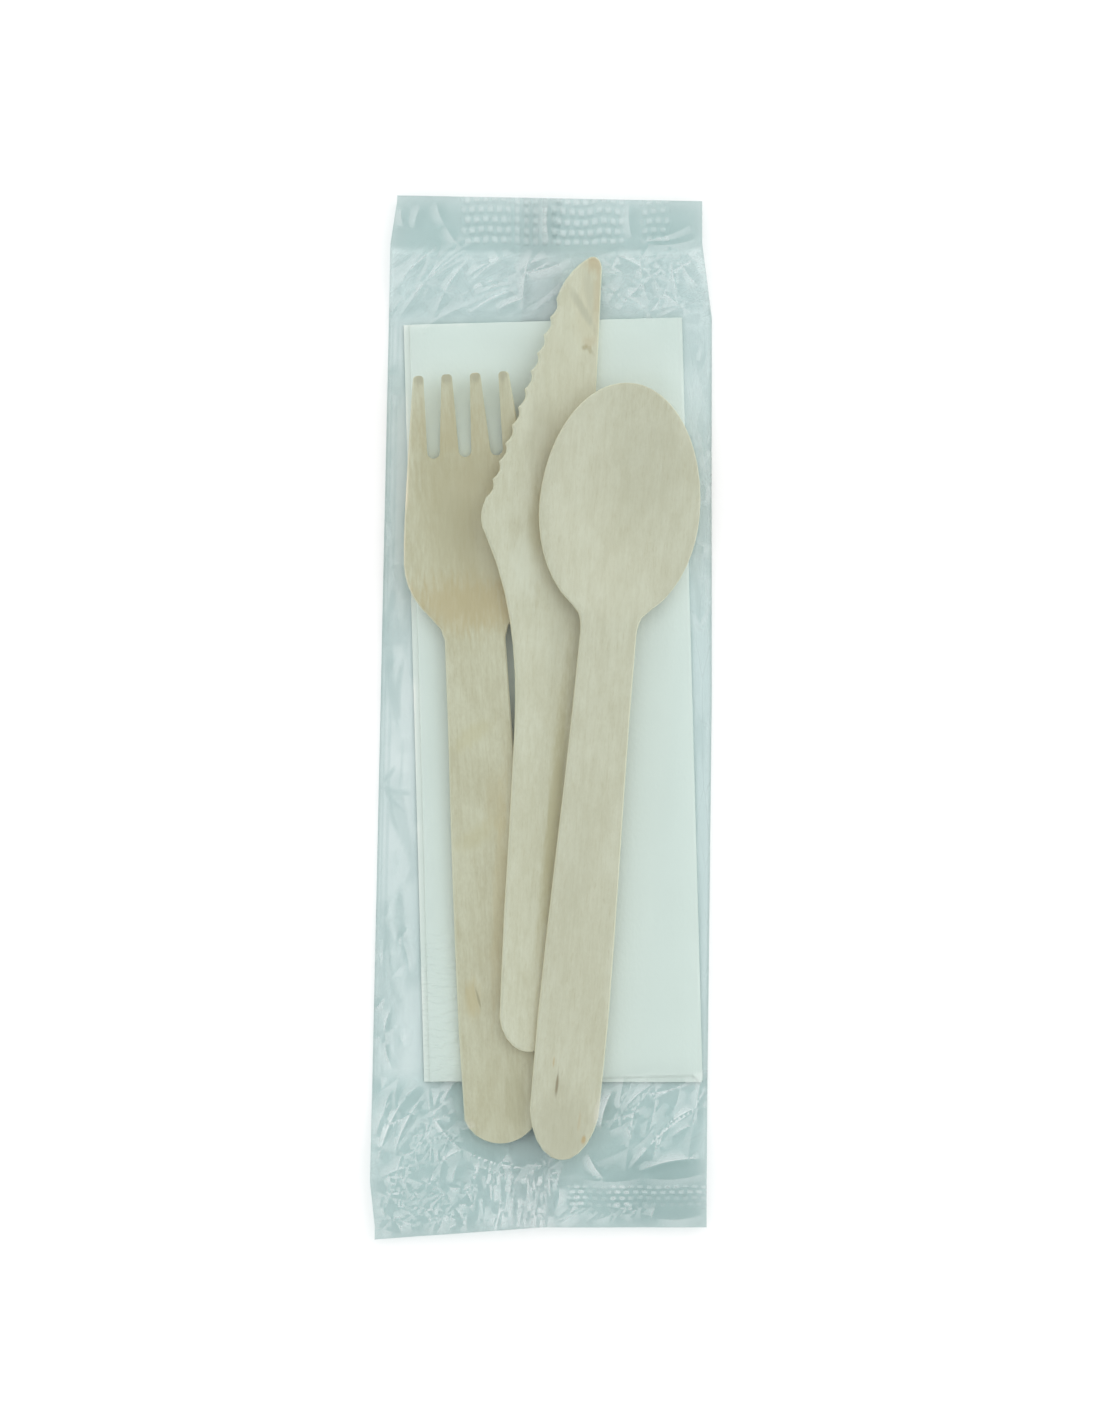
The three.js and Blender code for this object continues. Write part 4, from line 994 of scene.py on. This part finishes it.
def film_columns():
    """The columns of the sheet: the fin's returned edge, the left of the back, the front and the right of
    the back. Each has its share of the way across, its level, and whether it is in front or in the fin."""
    width = right_edge(0) - left_edge(0)
    fin_out = (FIN_X - left_edge(0)) / width
    fin_in = (FIN_X - FIN_WIDTH - left_edge(0)) / width
    fold, step = 0.1 / width, 0.05 / width
    runs = [
        (np.append(np.linspace(fin_in, fin_out - fold, 9), fin_out), FIN_LEVELS[0]),
        (np.append(fin_out, np.linspace(fin_out - fold, fin_in, 9)), FIN_LEVELS[1]),
        (np.array([fin_in - step]), FIN_LEVELS[1]),
        (np.linspace(fin_in - 1 / width, 0, 31), BACK_LEVEL),
        (np.linspace(0, 1, FRONT_COLUMNS), 0),
        (np.linspace(1, fin_out + step, 34), BACK_LEVEL),
        (np.linspace(fin_out - step, fin_in, 10), BACK_LEVEL),
    ]
    across = np.concatenate([places for places, _ in runs])
    level = np.concatenate([np.full(len(places), float(height)) for places, height in runs])
    return across, level, level == 0, (across >= fin_in) & (across <= fin_out)


def film_zones(x, y):
    """Each place's share in the head, the foot and the margins between them, and in the left, the middle
    and the right of the film."""
    head = smooth_step(y, napkin_high[1] - END_INSET, napkin_high[1] + END_OVERLAP)
    foot = smooth_step(y, napkin_low[1] + END_INSET, napkin_low[1] - END_OVERLAP)
    left = smooth_step(x, *LEFT_ZONE)
    right = smooth_step(x, *RIGHT_ZONE)
    return head, foot, (1 - head) * (1 - foot), left, (1 - left) * (1 - right), right


def facet_fields(x, y, shares):
    """The facets of each part of the film, mixed by its shares: places in facet widths along and across them,
    their tilt, their softness and the whiteness of their creases."""
    sums = np.zeros((6, *x.shape))
    for part, share in shares.items():
        (from_x, from_y), lean, size, stretch, tilt, soft, white = FACETS[part]
        turn = math.radians(lean)
        u = ((x - from_x) * math.cos(turn) + (y - from_y) * math.sin(turn)) / (size * stretch)
        v = ((y - from_y) * math.cos(turn) - (x - from_x) * math.sin(turn)) / size
        for total, value in zip(sums, (u, v, tilt, soft, white, 1)):
            total += share * value
    return sums[:5] / np.maximum(sums[5], 1e-6)


def crimp_stamp(x, y, depth):
    """How strongly the crimp's pattern shows at a depth in mm into a seal: in two patches of the head seal,
    and in a band and two columns of the foot seal."""
    head = sum(strength * band(x, *stretch) for strength, stretch in HEAD_PRINTS)
    columns = sum(np.clip(half - np.abs(x - middle), 0, 1) for middle, half in DASH_COLUMNS)
    columns = 1.25 * (columns + 0.4 * (x > DASH_COLUMNS[0][0])) * smooth_step(depth, 6, 5)
    rows = 1.2 * smooth_step(x, 17, 20) * smooth_step(depth, 3.6, 2.8)
    return smooth_step(depth, 0.4, 1.2) * np.where(y > 0, head, np.maximum(rows, columns))


def film_mesh():
    """The sheet of film row by row: from one cut edge of the fin round the pack to the other."""
    grid_x, grid_y, height, slack, bare, under = drape()
    across, level, in_front, in_fin = film_columns()
    along, foot, head, share = np.broadcast_arrays(*film_rows(), across[None, :])
    y = (
        along
        + head * (HEAD_CRIMP + HEAD_SLANT * (1 - share))
        - foot * (FOOT_CRIMP + FOOT_SLANT * np.maximum(0, 1 - 2 * share))
    )
    sag = HEAD_SAG * 4 * share * (1 - share)
    y = y - sag * smooth_step(y, head_seal - SAG_REACH, head_seal) * (1 - head)
    left, right = left_edge(y), right_edge(y)
    x = left + share * (right - left)
    to_side = np.minimum(share, 1 - share) * (right - left)
    to_head, to_foot, margin, to_left, between, to_right = film_zones(x, y)

    def near_seals(reach):
        by_head = smooth_step(y, head_seal - sag - reach, head_seal - sag)
        return np.maximum(by_head, smooth_step(y, foot_seal + reach, foot_seal))

    # Back: flat under the napkin, rising to the seals as far as the contents allow
    pressed = near_seals(SEAL_REACH)
    beyond = np.maximum(
        (y - napkin_high[1]) / (head_seal - napkin_high[1]),
        (napkin_low[1] - y) / (napkin_low[1] - foot_seal),
    )
    room = np.interp(y, grid_y, np.where(np.isfinite(under), under, FAR_OFF)) - UNDER_GAP
    lift = np.minimum(CRIMP_LIFT * smooth_step(beyond, 0, 1), np.maximum(0, room))
    loose_back = smooth_step(beyond, 0, 0.3) * (1 - pressed)
    back_folds = 0.5 + crumple(x, y, *BACK_CRUMPLE)
    back = lift + loose_back * np.minimum(back_folds, np.maximum(0, room - lift)) + level

    # Front: the taut drape, with the slack film at the ends and sides thrown into folds
    loose = on_grid(grid_x, grid_y, slack, x, y)
    folds = margin * crumple(x, y, *MARGIN_CRUMPLE)
    for zone, crumples in ((to_head, HEAD_CRUMPLES), (to_foot, FOOT_CRUMPLES)):
        for side, crumpled in zip((to_left, between, to_right), crumples):
            folds += zone * side * crumple(x, y, *crumpled)
    for start, end, rise, spread in HEAD_CREASES + FOOT_CREASES + MARGIN_CREASES:
        folds += crease(x, y, start, end, rise, spread)
    taut = np.maximum(on_grid(grid_x, grid_y, height, x, y), back + LAYER_GAP)
    thrown = loose * smooth_step(to_side, 0, SIDE_REACH) * (1 - 0.75 * near_seals(CALM_REACH))
    puffed = taut + thrown * np.maximum(folds + 0.6, -0.2)

    # Seals: both panels run as one strip, slightly wavy, gathered where the contents pull at it
    gathered = np.where(y < 0, band(x, *FOOT_GATHERS), 0.25 * band(x, *HEAD_GATHERS))
    strip = CRIMP_LIFT + SEAL_LIFT + crumple(x, y, *SEAL_WAVES) + level + SEAL_GAP * in_front
    strip += gathered * crumple(x, y, *SEAL_GATHERS)
    z = np.where(in_front, puffed, back) * (1 - pressed) + strip * pressed
    points = np.stack([x, y, np.maximum(z, LOWEST)], axis=-1)
    rows, columns = x.shape
    flat = np.meshgrid(np.linspace(0, FILM_FLAT[0], columns), np.linspace(0, FILM_FLAT[1], rows))
    mesh = sheet_mesh("film_sheet", points, np.stack(flat, axis=-1))

    # Small facets fill the slack film and the gathers of the foot seal, but not a flat band beside them
    at_foot = pressed * (y < 0)
    above_foot = to_foot * (1 - at_foot)
    shares = {
        "head left": to_head * to_left,
        "head middle": to_head * between,
        "head right": to_head * to_right,
        "foot left": above_foot * to_left,
        "foot middle": above_foot * between,
        "foot right": above_foot * to_right,
        "foot seal left": at_foot * smooth_step(x, *SEAL_LEFT_ZONE),
        "foot seal middle": at_foot * smooth_step(x, *SEAL_LEFT_ZONE[::-1]),
        "left margin": margin * (x < 0),
        "right margin": margin * (x >= 0),
    }
    fold_u, fold_v, tilt, soft, white = facet_fields(x, y, shares)
    back_ends = np.clip(3 * beyond, 0, 1)
    reach = np.where(in_front, loose, back_ends) * (1 - pressed) + 0.15 * pressed
    reach += at_foot * smooth_step(x, 9, 0)
    reach *= 1 - smooth_step(x, 10, 15) * band(y, *FLAT_BAND)

    # The left margin lies double in patches, along its folds and along lines beside its edge. Elsewhere,
    # except at sharp creases, its tint and shine are thinned out as painted light, which also lifts the shade
    # beside the napkin's edge
    bared = on_grid(grid_x, grid_y, bare, x, y)
    left_margin = margin * (x < 0) * in_front * bared
    doubled_and_painted_shade = 0.5 * smooth_step(crumple(x, y, *DOUBLED_PATCHES), 0.25, 0.6)
    for start, end, _, spread in MARGIN_CREASES:
        fold = crease(x, y, start, end, 1.0, 1.2 * spread)
        doubled_and_painted_shade = np.maximum(doubled_and_painted_shade, 0.8 * smooth_step(fold, 0.1, 0.6))
    for inset in EDGE_LINES:
        line = np.clip(1 - np.abs(x - left - inset) / EDGE_LINE_WIDTH, 0, 1)
        doubled_and_painted_shade = np.maximum(doubled_and_painted_shade, 0.7 * line)
    crease_side, crease_near = nearest_crease(x, y)
    crease_near *= in_front
    painted_light_share = (0.6 + 0.37 * smooth_step(y, -45, -10)) * left_margin * (1 - 0.6 * doubled_and_painted_shade)
    painted_light_share *= 1 - np.clip(1.2 * crease_near, 0, 1)
    back_share = np.clip(0.68 + 0.17 * (x < 0) + 0.4 * back_ends, 0, 1) * np.where(in_fin, 1 / 3, 1)

    # Painted shade darkens the film along its outline, partly for the layers seen edge-on there, in the seals
    # near the outline and in a flat stretch at the right of the foot. The film is paler at the left of the
    # foot and in its gathers
    to_outline = np.where(head > 0, np.minimum(to_side, (1 - head) * HEAD_CRIMP), to_side)
    to_outline = np.where(foot > 0, np.minimum(to_outline, (1 - foot) * FOOT_CRIMP), to_outline)
    dark = np.maximum(1.7 * smooth_step(to_outline, 0.6, 0.1), 0.8 * pressed * smooth_step(to_outline, 4, 0))
    dark = np.maximum(dark, 1.3 * smooth_step(x, 9, 21) * smooth_step(y, -89.5, -91.5))
    patches = smooth_step(crumple(x, y, *PALE_PATCHES), -0.3, 0.4)
    pale = 0.75 * patches * to_foot * (1 - pressed) * to_left * smooth_step(y, -89, -84) * bared
    pale += 0.7 * at_foot * band(x, *PALE_GATHERS)
    slackness = np.where(in_front, bared, np.clip(4 * beyond, 0, 1))
    slackness *= 1 - pressed * (1 - 0.3 * (y > 0) * band(x, *HEAD_SHINE))
    slackness *= 1 - (0.95 * to_foot + 0.25 * to_head * (1 - between)) * (1 - pressed)
    slackness *= (1 - 0.3 * margin * (x > 0)) * (1 - 0.5 * left_margin * doubled_and_painted_shade)

    fields = {
        "fold_u": fold_u + np.where(in_front, 0, BACK_FACET_SHIFT),
        "fold_v": fold_v,
        "fold_slope": tilt * reach,
        "fold_soft": soft,
        "fold_white": white * np.clip(reach, 0, 1),
        "crease_side": crease_side,
        "crease_near": crease_near,
        "crimp_along": np.maximum(foot * FOOT_CRIMP, head * HEAD_CRIMP / HEAD_ROW_SPREAD),
        "crimp_across": x,
        "crimp_ribs": band(x, *HEAD_RIBS) * (y > 0),
        "crimp_print": crimp_stamp(x, y, np.maximum(foot * FOOT_CRIMP, head * HEAD_CRIMP)),
        "slack": slackness + pale * in_front,
        "doubled_and_painted_shade": np.maximum(left_margin * doubled_and_painted_shade, dark * in_front),
        "film_share": np.where(in_front, 1 - painted_light_share, back_share),
    }
    for name, values in fields.items():
        attribute = mesh.attributes.new(name, "FLOAT", "POINT")
        attribute.data.foreach_set("value", values.astype(np.float32).ravel())
    return mesh


def crimp_pattern(tree, along, across, ribs, size):
    """Short dashes in staggered, wavy rows, or ribs across them, stronger in some patches than in others."""

    def bar(value, half):
        away = calculate(tree, "ABSOLUTE", calculate(tree, "SUBTRACT", calculate(tree, "FRACT", value), 0.5))
        return fade(tree, away, half, half * 0.35)

    place = add(tree, "ShaderNodeCombineXYZ", {0: across, 1: along}).outputs[0]
    cloud = {"Vector": place, "W": size["Seed"], "Scale": size["Patch Scale"]}
    cloud = add(tree, "ShaderNodeTexNoise", cloud, noise_dimensions="4D").outputs["Fac"]
    row = calculate(tree, "DIVIDE", calculate(tree, "MULTIPLY_ADD", cloud, 1.6, along), size["Row Pitch"])
    shift = calculate(tree, "MULTIPLY", calculate(tree, "FLOOR", row), 0.5)
    dash = calculate(tree, "ADD", calculate(tree, "DIVIDE", across, size["Dash Pitch"]), shift)
    rows = bar(row, 0.4)
    dashes = calculate(tree, "MULTIPLY", rows, calculate(tree, "MULTIPLY_ADD", bar(dash, 0.43), 0.9, 0.1))
    rib = bar(calculate(tree, "DIVIDE", across, size["Rib Pitch"]), 0.4)
    rib = calculate(tree, "MULTIPLY", rib, calculate(tree, "MULTIPLY_ADD", rows, 0.6, 0.4))
    ribbed = calculate(tree, "MULTIPLY_ADD", calculate(tree, "SUBTRACT", rib, dashes), ribs, dashes)
    return calculate(tree, "MULTIPLY", ribbed, calculate(tree, "MULTIPLY_ADD", cloud, 0.8, 0.5))


def crimp_tree(material):
    """Presses the crimp's pattern into the film, deeper where its print is stronger."""
    tree = bpy.data.node_groups.new("crimp_dashes", "GeometryNodeTree")
    tree.interface.new_socket("Geometry", in_out="INPUT", socket_type="NodeSocketGeometry")
    for label in ("Row Pitch", "Dash Pitch", "Rib Pitch", "Patch Scale", "Seed", "Depth"):
        tree.interface.new_socket(label, in_out="INPUT", socket_type="NodeSocketFloat")
    tree.interface.new_socket("Geometry", in_out="OUTPUT", socket_type="NodeSocketGeometry")
    given = add(tree, "NodeGroupInput").outputs
    result = add(tree, "NodeGroupOutput")

    def field(name):
        named = add(tree, "GeometryNodeInputNamedAttribute", {"Name": name}, data_type="FLOAT")
        return named.outputs["Attribute"]

    pattern = crimp_pattern(tree, field("crimp_along"), field("crimp_across"), field("crimp_ribs"), given)
    rise = calculate(tree, "MULTIPLY", pattern, field("crimp_print"))
    rise = calculate(tree, "MULTIPLY", rise, given["Depth"])
    offset = add(tree, "ShaderNodeCombineXYZ", {2: rise}).outputs[0]
    pressed = {"Geometry": given["Geometry"], "Offset": offset}
    pressed = add(tree, "GeometryNodeSetPosition", pressed).outputs[0]
    real = add(tree, "GeometryNodeRealizeInstances", {0: pressed}).outputs[0]
    done = add(tree, "GeometryNodeSetMaterial", {"Geometry": real, "Material": material}).outputs[0]
    tree.links.new(done, result.inputs[0])
    return tree


UNTINTED = (1, 1, 1, 1)
TAUT_TINT = (0.80, 0.862, 0.858, 1)
SLACK_TINT = (0.852, 0.907, 0.905, 1)
DOUBLED_AND_PAINTED_SHADE_TINT = (0.66, 0.735, 0.73, 1)
TAUT_SHINE = 0.015
SLACK_SHINE = 0.08
CREASE_SHINE = 0.25
SHARP_SHINE = 0.14
SIDE_SHINE = 0.28
DASH_SHINE = 0.13
DASH_SHADE_STEP = 0.45
FAR_SIDE_LOSS = 0.08
FILM_ROUGHNESS = 0.17
WHITE_ROUGHNESS = 0.8
BROAD_FACETS = 0.5
SMALL_FACETS = 1.2
CRIMP_SIZES = {
    "Row Pitch": 1.2,
    "Dash Pitch": 1.87,
    "Rib Pitch": 1.9,
    "Patch Scale": 0.14,
    "Seed": 4.0,
    "Depth": 0.12 * MM,
}


def film_material():
    """Clear film: it tints what is seen through it, mirrors a little, and mirrors most at a glancing angle.
    Stacked layers share the tint and the shine of one, and slack film shines more than taut film."""
    material, tree, shader, output = new_material("clear_film")

    def field(name):
        return add(tree, "ShaderNodeAttribute", attribute_name=name).outputs["Fac"]

    layer, slack = field("film_share"), field("slack")
    tint = blend(tree, layer, UNTINTED, blend(tree, slack, TAUT_TINT, SLACK_TINT))

    # Small facets of crumpled film lean at random
    slope, soft = field("fold_slope"), field("fold_soft")
    place = add(tree, "ShaderNodeCombineXYZ", {0: field("fold_u"), 1: field("fold_v")}).outputs[0]
    drift = add(tree, "ShaderNodeTexNoise", {"Vector": place, "Scale": 0.6, "Detail": 1.0}).outputs["Color"]
    amount = calculate(tree, "MULTIPLY_ADD", soft, 1.0, 0.4)
    amount = add(tree, "ShaderNodeCombineXYZ", {0: amount, 1: amount}).outputs[0]
    place = vary(tree, "MULTIPLY_ADD", drift, amount, place)

    def facets(scale, feature, **more):
        inputs = {"Vector": place, "Scale": scale, **more}
        return add(tree, "ShaderNodeTexVoronoi", inputs, voronoi_dimensions="2D", feature=feature).outputs

    broad = facets(BROAD_FACETS, "SMOOTH_F1", Smoothness=soft)["Color"]
    broad = vary(tree, "SUBTRACT", broad, (0.5, 0.5, 0))
    small = vary(tree, "SUBTRACT", facets(SMALL_FACETS, "F1")["Color"], (0.5, 0.5, 0))
    share = calculate(tree, "MULTIPLY_ADD", soft, -0.35, 0.5)
    share = add(tree, "ShaderNodeCombineXYZ", {0: share, 1: share}).outputs[0]
    lean = vary(tree, "MULTIPLY_ADD", small, share, broad)
    reach = add(tree, "ShaderNodeCombineXYZ", {0: slope, 1: slope}).outputs[0]
    upright = add(tree, "ShaderNodeNewGeometry").outputs["Normal"]
    leaning = vary(tree, "NORMALIZE", vary(tree, "MULTIPLY_ADD", lean, reach, upright))
    tree.links.new(leaning, shader.inputs["Normal"])
    facing = add(tree, "ShaderNodeLayerWeight", {"Blend": 0.5, "Normal": leaning}).outputs["Facing"]

    # Creases and the crimp's dashes are whitened: they scatter light instead of mirroring it, partly as the
    # film whitens there and partly as a painted highlight
    thin = fade(tree, facets(SMALL_FACETS, "DISTANCE_TO_EDGE")["Distance"], 0.1, 0.0)
    thick = fade(tree, facets(BROAD_FACETS, "DISTANCE_TO_EDGE")["Distance"], 0.07, 0.0)
    line = calculate(tree, "MULTIPLY_ADD", thin, 0.5, thick)
    white = calculate(tree, "MULTIPLY", calculate(tree, "MULTIPLY", line, field("fold_white")), CREASE_SHINE)
    side, near = field("crease_side"), field("crease_near")
    sharp = fade(tree, calculate(tree, "ABSOLUTE", side), 0.32, 0.06)
    sharp = calculate(tree, "MULTIPLY", sharp, calculate(tree, "MULTIPLY", near, near))
    white = calculate(tree, "MULTIPLY_ADD", sharp, SHARP_SHINE, white)
    along, across, ribs, stamp = (field("crimp_" + part) for part in ("along", "across", "ribs", "print"))
    dashes = calculate(tree, "MULTIPLY", crimp_pattern(tree, along, across, ribs, CRIMP_SIZES), stamp)
    white = calculate(tree, "MULTIPLY_ADD", dashes, DASH_SHINE, white)
    below = calculate(tree, "ADD", along, DASH_SHADE_STEP)
    painted_dash_shade = calculate(tree, "MULTIPLY", crimp_pattern(tree, below, across, ribs, CRIMP_SIZES), stamp)
    shine = calculate(tree, "MULTIPLY_ADD", slack, SLACK_SHINE - TAUT_SHINE, TAUT_SHINE)
    # Painted highlight whitens the near side of each sharp crease, and painted shade takes shine from its far
    # side
    fold_light = calculate(tree, "MULTIPLY", fade(tree, side, -0.08, 0.08), near)
    white = calculate(tree, "MULTIPLY_ADD", fold_light, SIDE_SHINE, white)
    fold_dark = calculate(tree, "MULTIPLY", fade(tree, side, 0.08, -0.08), near)
    shine = calculate(tree, "MULTIPLY_ADD", fold_dark, -FAR_SIDE_LOSS, shine)

    # Painted shade darkens the film in the hollows of the dashes, on the far side of a crease and along its
    # outline, and the film is darker where it lies double
    dark = calculate(tree, "MAXIMUM", calculate(tree, "MULTIPLY", painted_dash_shade, 0.65), field("doubled_and_painted_shade"))
    dark = calculate(tree, "MULTIPLY_ADD", fold_dark, 0.5, calculate(tree, "MULTIPLY", dark, 0.45))
    tint = blend(tree, dark, tint, DOUBLED_AND_PAINTED_SHADE_TINT)
    through = add(tree, "ShaderNodeBsdfTransparent", {"Color": tint})
    shine = calculate(tree, "MAXIMUM", calculate(tree, "ADD", shine, white), 0.0)
    scatter = calculate(tree, "MULTIPLY", white, 10.0, clamp=True)
    roughness = calculate(tree, "MULTIPLY_ADD", scatter, WHITE_ROUGHNESS - FILM_ROUGHNESS, FILM_ROUGHNESS)
    tree.links.new(roughness, shader.inputs["Roughness"])
    tree.links.new(calculate(tree, "SUBTRACT", 1.0, scatter), shader.inputs["Metallic"])
    glance = calculate(tree, "POWER", facing, 5.0)
    mirror = calculate(tree, "MULTIPLY_ADD", glance, calculate(tree, "SUBTRACT", 1.0, shine), shine)
    mirror = calculate(tree, "MULTIPLY", mirror, layer)
    shader.inputs["Base Color"].default_value = UNTINTED
    mix = add(tree, "ShaderNodeMixShader", {0: mirror, 1: through.outputs[0], 2: shader.outputs[0]})
    tree.links.new(mix.outputs[0], output.inputs["Surface"])
    return material


clear_film = film_material()
film = piece_of(film_mesh(), "clear_film_wrapper")
crimping = film.modifiers.new("crimp_dashes", "NODES")
crimping.node_group = crimp_tree(clear_film)
for socket in crimping.node_group.interface.items_tree:
    if socket.in_out == "INPUT" and socket.name in CRIMP_SIZES:
        crimping[socket.identifier] = CRIMP_SIZES[socket.name]
embossed = bpy.data.meshes.new_from_object(film.evaluated_get(bpy.context.evaluated_depsgraph_get()))
film.modifiers.remove(crimping)
film.data = embossed
embossed.shade_smooth()
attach(film, "root")
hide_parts("film_wrapper")

# Studio
# A plain white floor under a pale dome that is darker overhead, where the camera hangs, and soft lamps round
# it. The camera looks straight down, as the photograph does.
FLOOR_HALF = 8.0
FLOOR_WHITE = (0.97, 0.97, 0.97, 1)
DOME_WHITE = (1, 1, 1, 1)
DOME_OVERHEAD = 0.5
DOME_SIDES = 0.85
LAMP_WIDTH = 70
LAMPS = [
    ("lamp_head", (0.15, 0.8, 0.8), 0.82),
    ("lamp_left", (-0.9, 0.1, 0.6), 0.5),
    ("lamp_right", (0.9, 0.15, 0.6), 0.76),
    ("lamp_foot", (-0.1, -0.85, 0.7), 0.23),
]
CAMERA_MIDDLE = (2.0, 1.33)
CAMERA_HEIGHT = 1500
VIEW_LENGTH = 293.2
SENSOR = 36

floor_corners = [(x * FLOOR_HALF, y * FLOOR_HALF, 0) for x, y in ((-1, -1), (1, -1), (1, 1), (-1, 1))]
floor_mesh = bpy.data.meshes.new("floor")
floor_mesh.from_pydata(floor_corners, [], [(0, 1, 2, 3)])
floor = piece_of(floor_mesh, "floor")
floor_paint, _, floor_shader, _ = new_material("floor_paint")
floor_shader.inputs["Base Color"].default_value = FLOOR_WHITE
floor_shader.inputs["Roughness"].default_value = 1.0
floor_shader.inputs["Specular IOR Level"].default_value = 0.0
floor_mesh.materials.append(floor_paint)

world = bpy.data.worlds.new("studio_dome")
world.use_nodes = True
dome = world.node_tree
dome.nodes.clear()
direction = add(dome, "ShaderNodeTexCoord").outputs["Generated"]
upward = add(dome, "ShaderNodeSeparateXYZ", {0: direction}).outputs["Z"]
level = add(
    dome,
    "ShaderNodeMapRange",
    {"Value": upward, "From Min": 0.95, "From Max": 0.45, "To Min": DOME_OVERHEAD, "To Max": DOME_SIDES},
    interpolation_type="SMOOTHSTEP",
).outputs["Result"]
glow = add(dome, "ShaderNodeBackground", {"Color": DOME_WHITE, "Strength": level})
add(dome, "ShaderNodeOutputWorld", {"Surface": glow.outputs[0]})
bpy.context.scene.world = world

for name, towards, strength in LAMPS:
    lamp = bpy.data.lights.new(name, "SUN")
    lamp.energy = strength
    lamp.angle = math.radians(LAMP_WIDTH)
    stand = bpy.data.objects.new(name, lamp)
    stand.rotation_euler = Vector(towards).to_track_quat("Z", "Y").to_euler()
    bpy.context.scene.collection.objects.link(stand)

lens = bpy.data.cameras.new("camera")
lens.sensor_width = SENSOR
lens.lens = SENSOR * CAMERA_HEIGHT / VIEW_LENGTH
camera = bpy.data.objects.new("camera", lens)
camera.location = (CAMERA_MIDDLE[0] * MM, CAMERA_MIDDLE[1] * MM, CAMERA_HEIGHT * MM)
bpy.context.scene.collection.objects.link(camera)
bpy.context.scene.camera = camera
bpy.context.scene.view_settings.view_transform = "Standard"
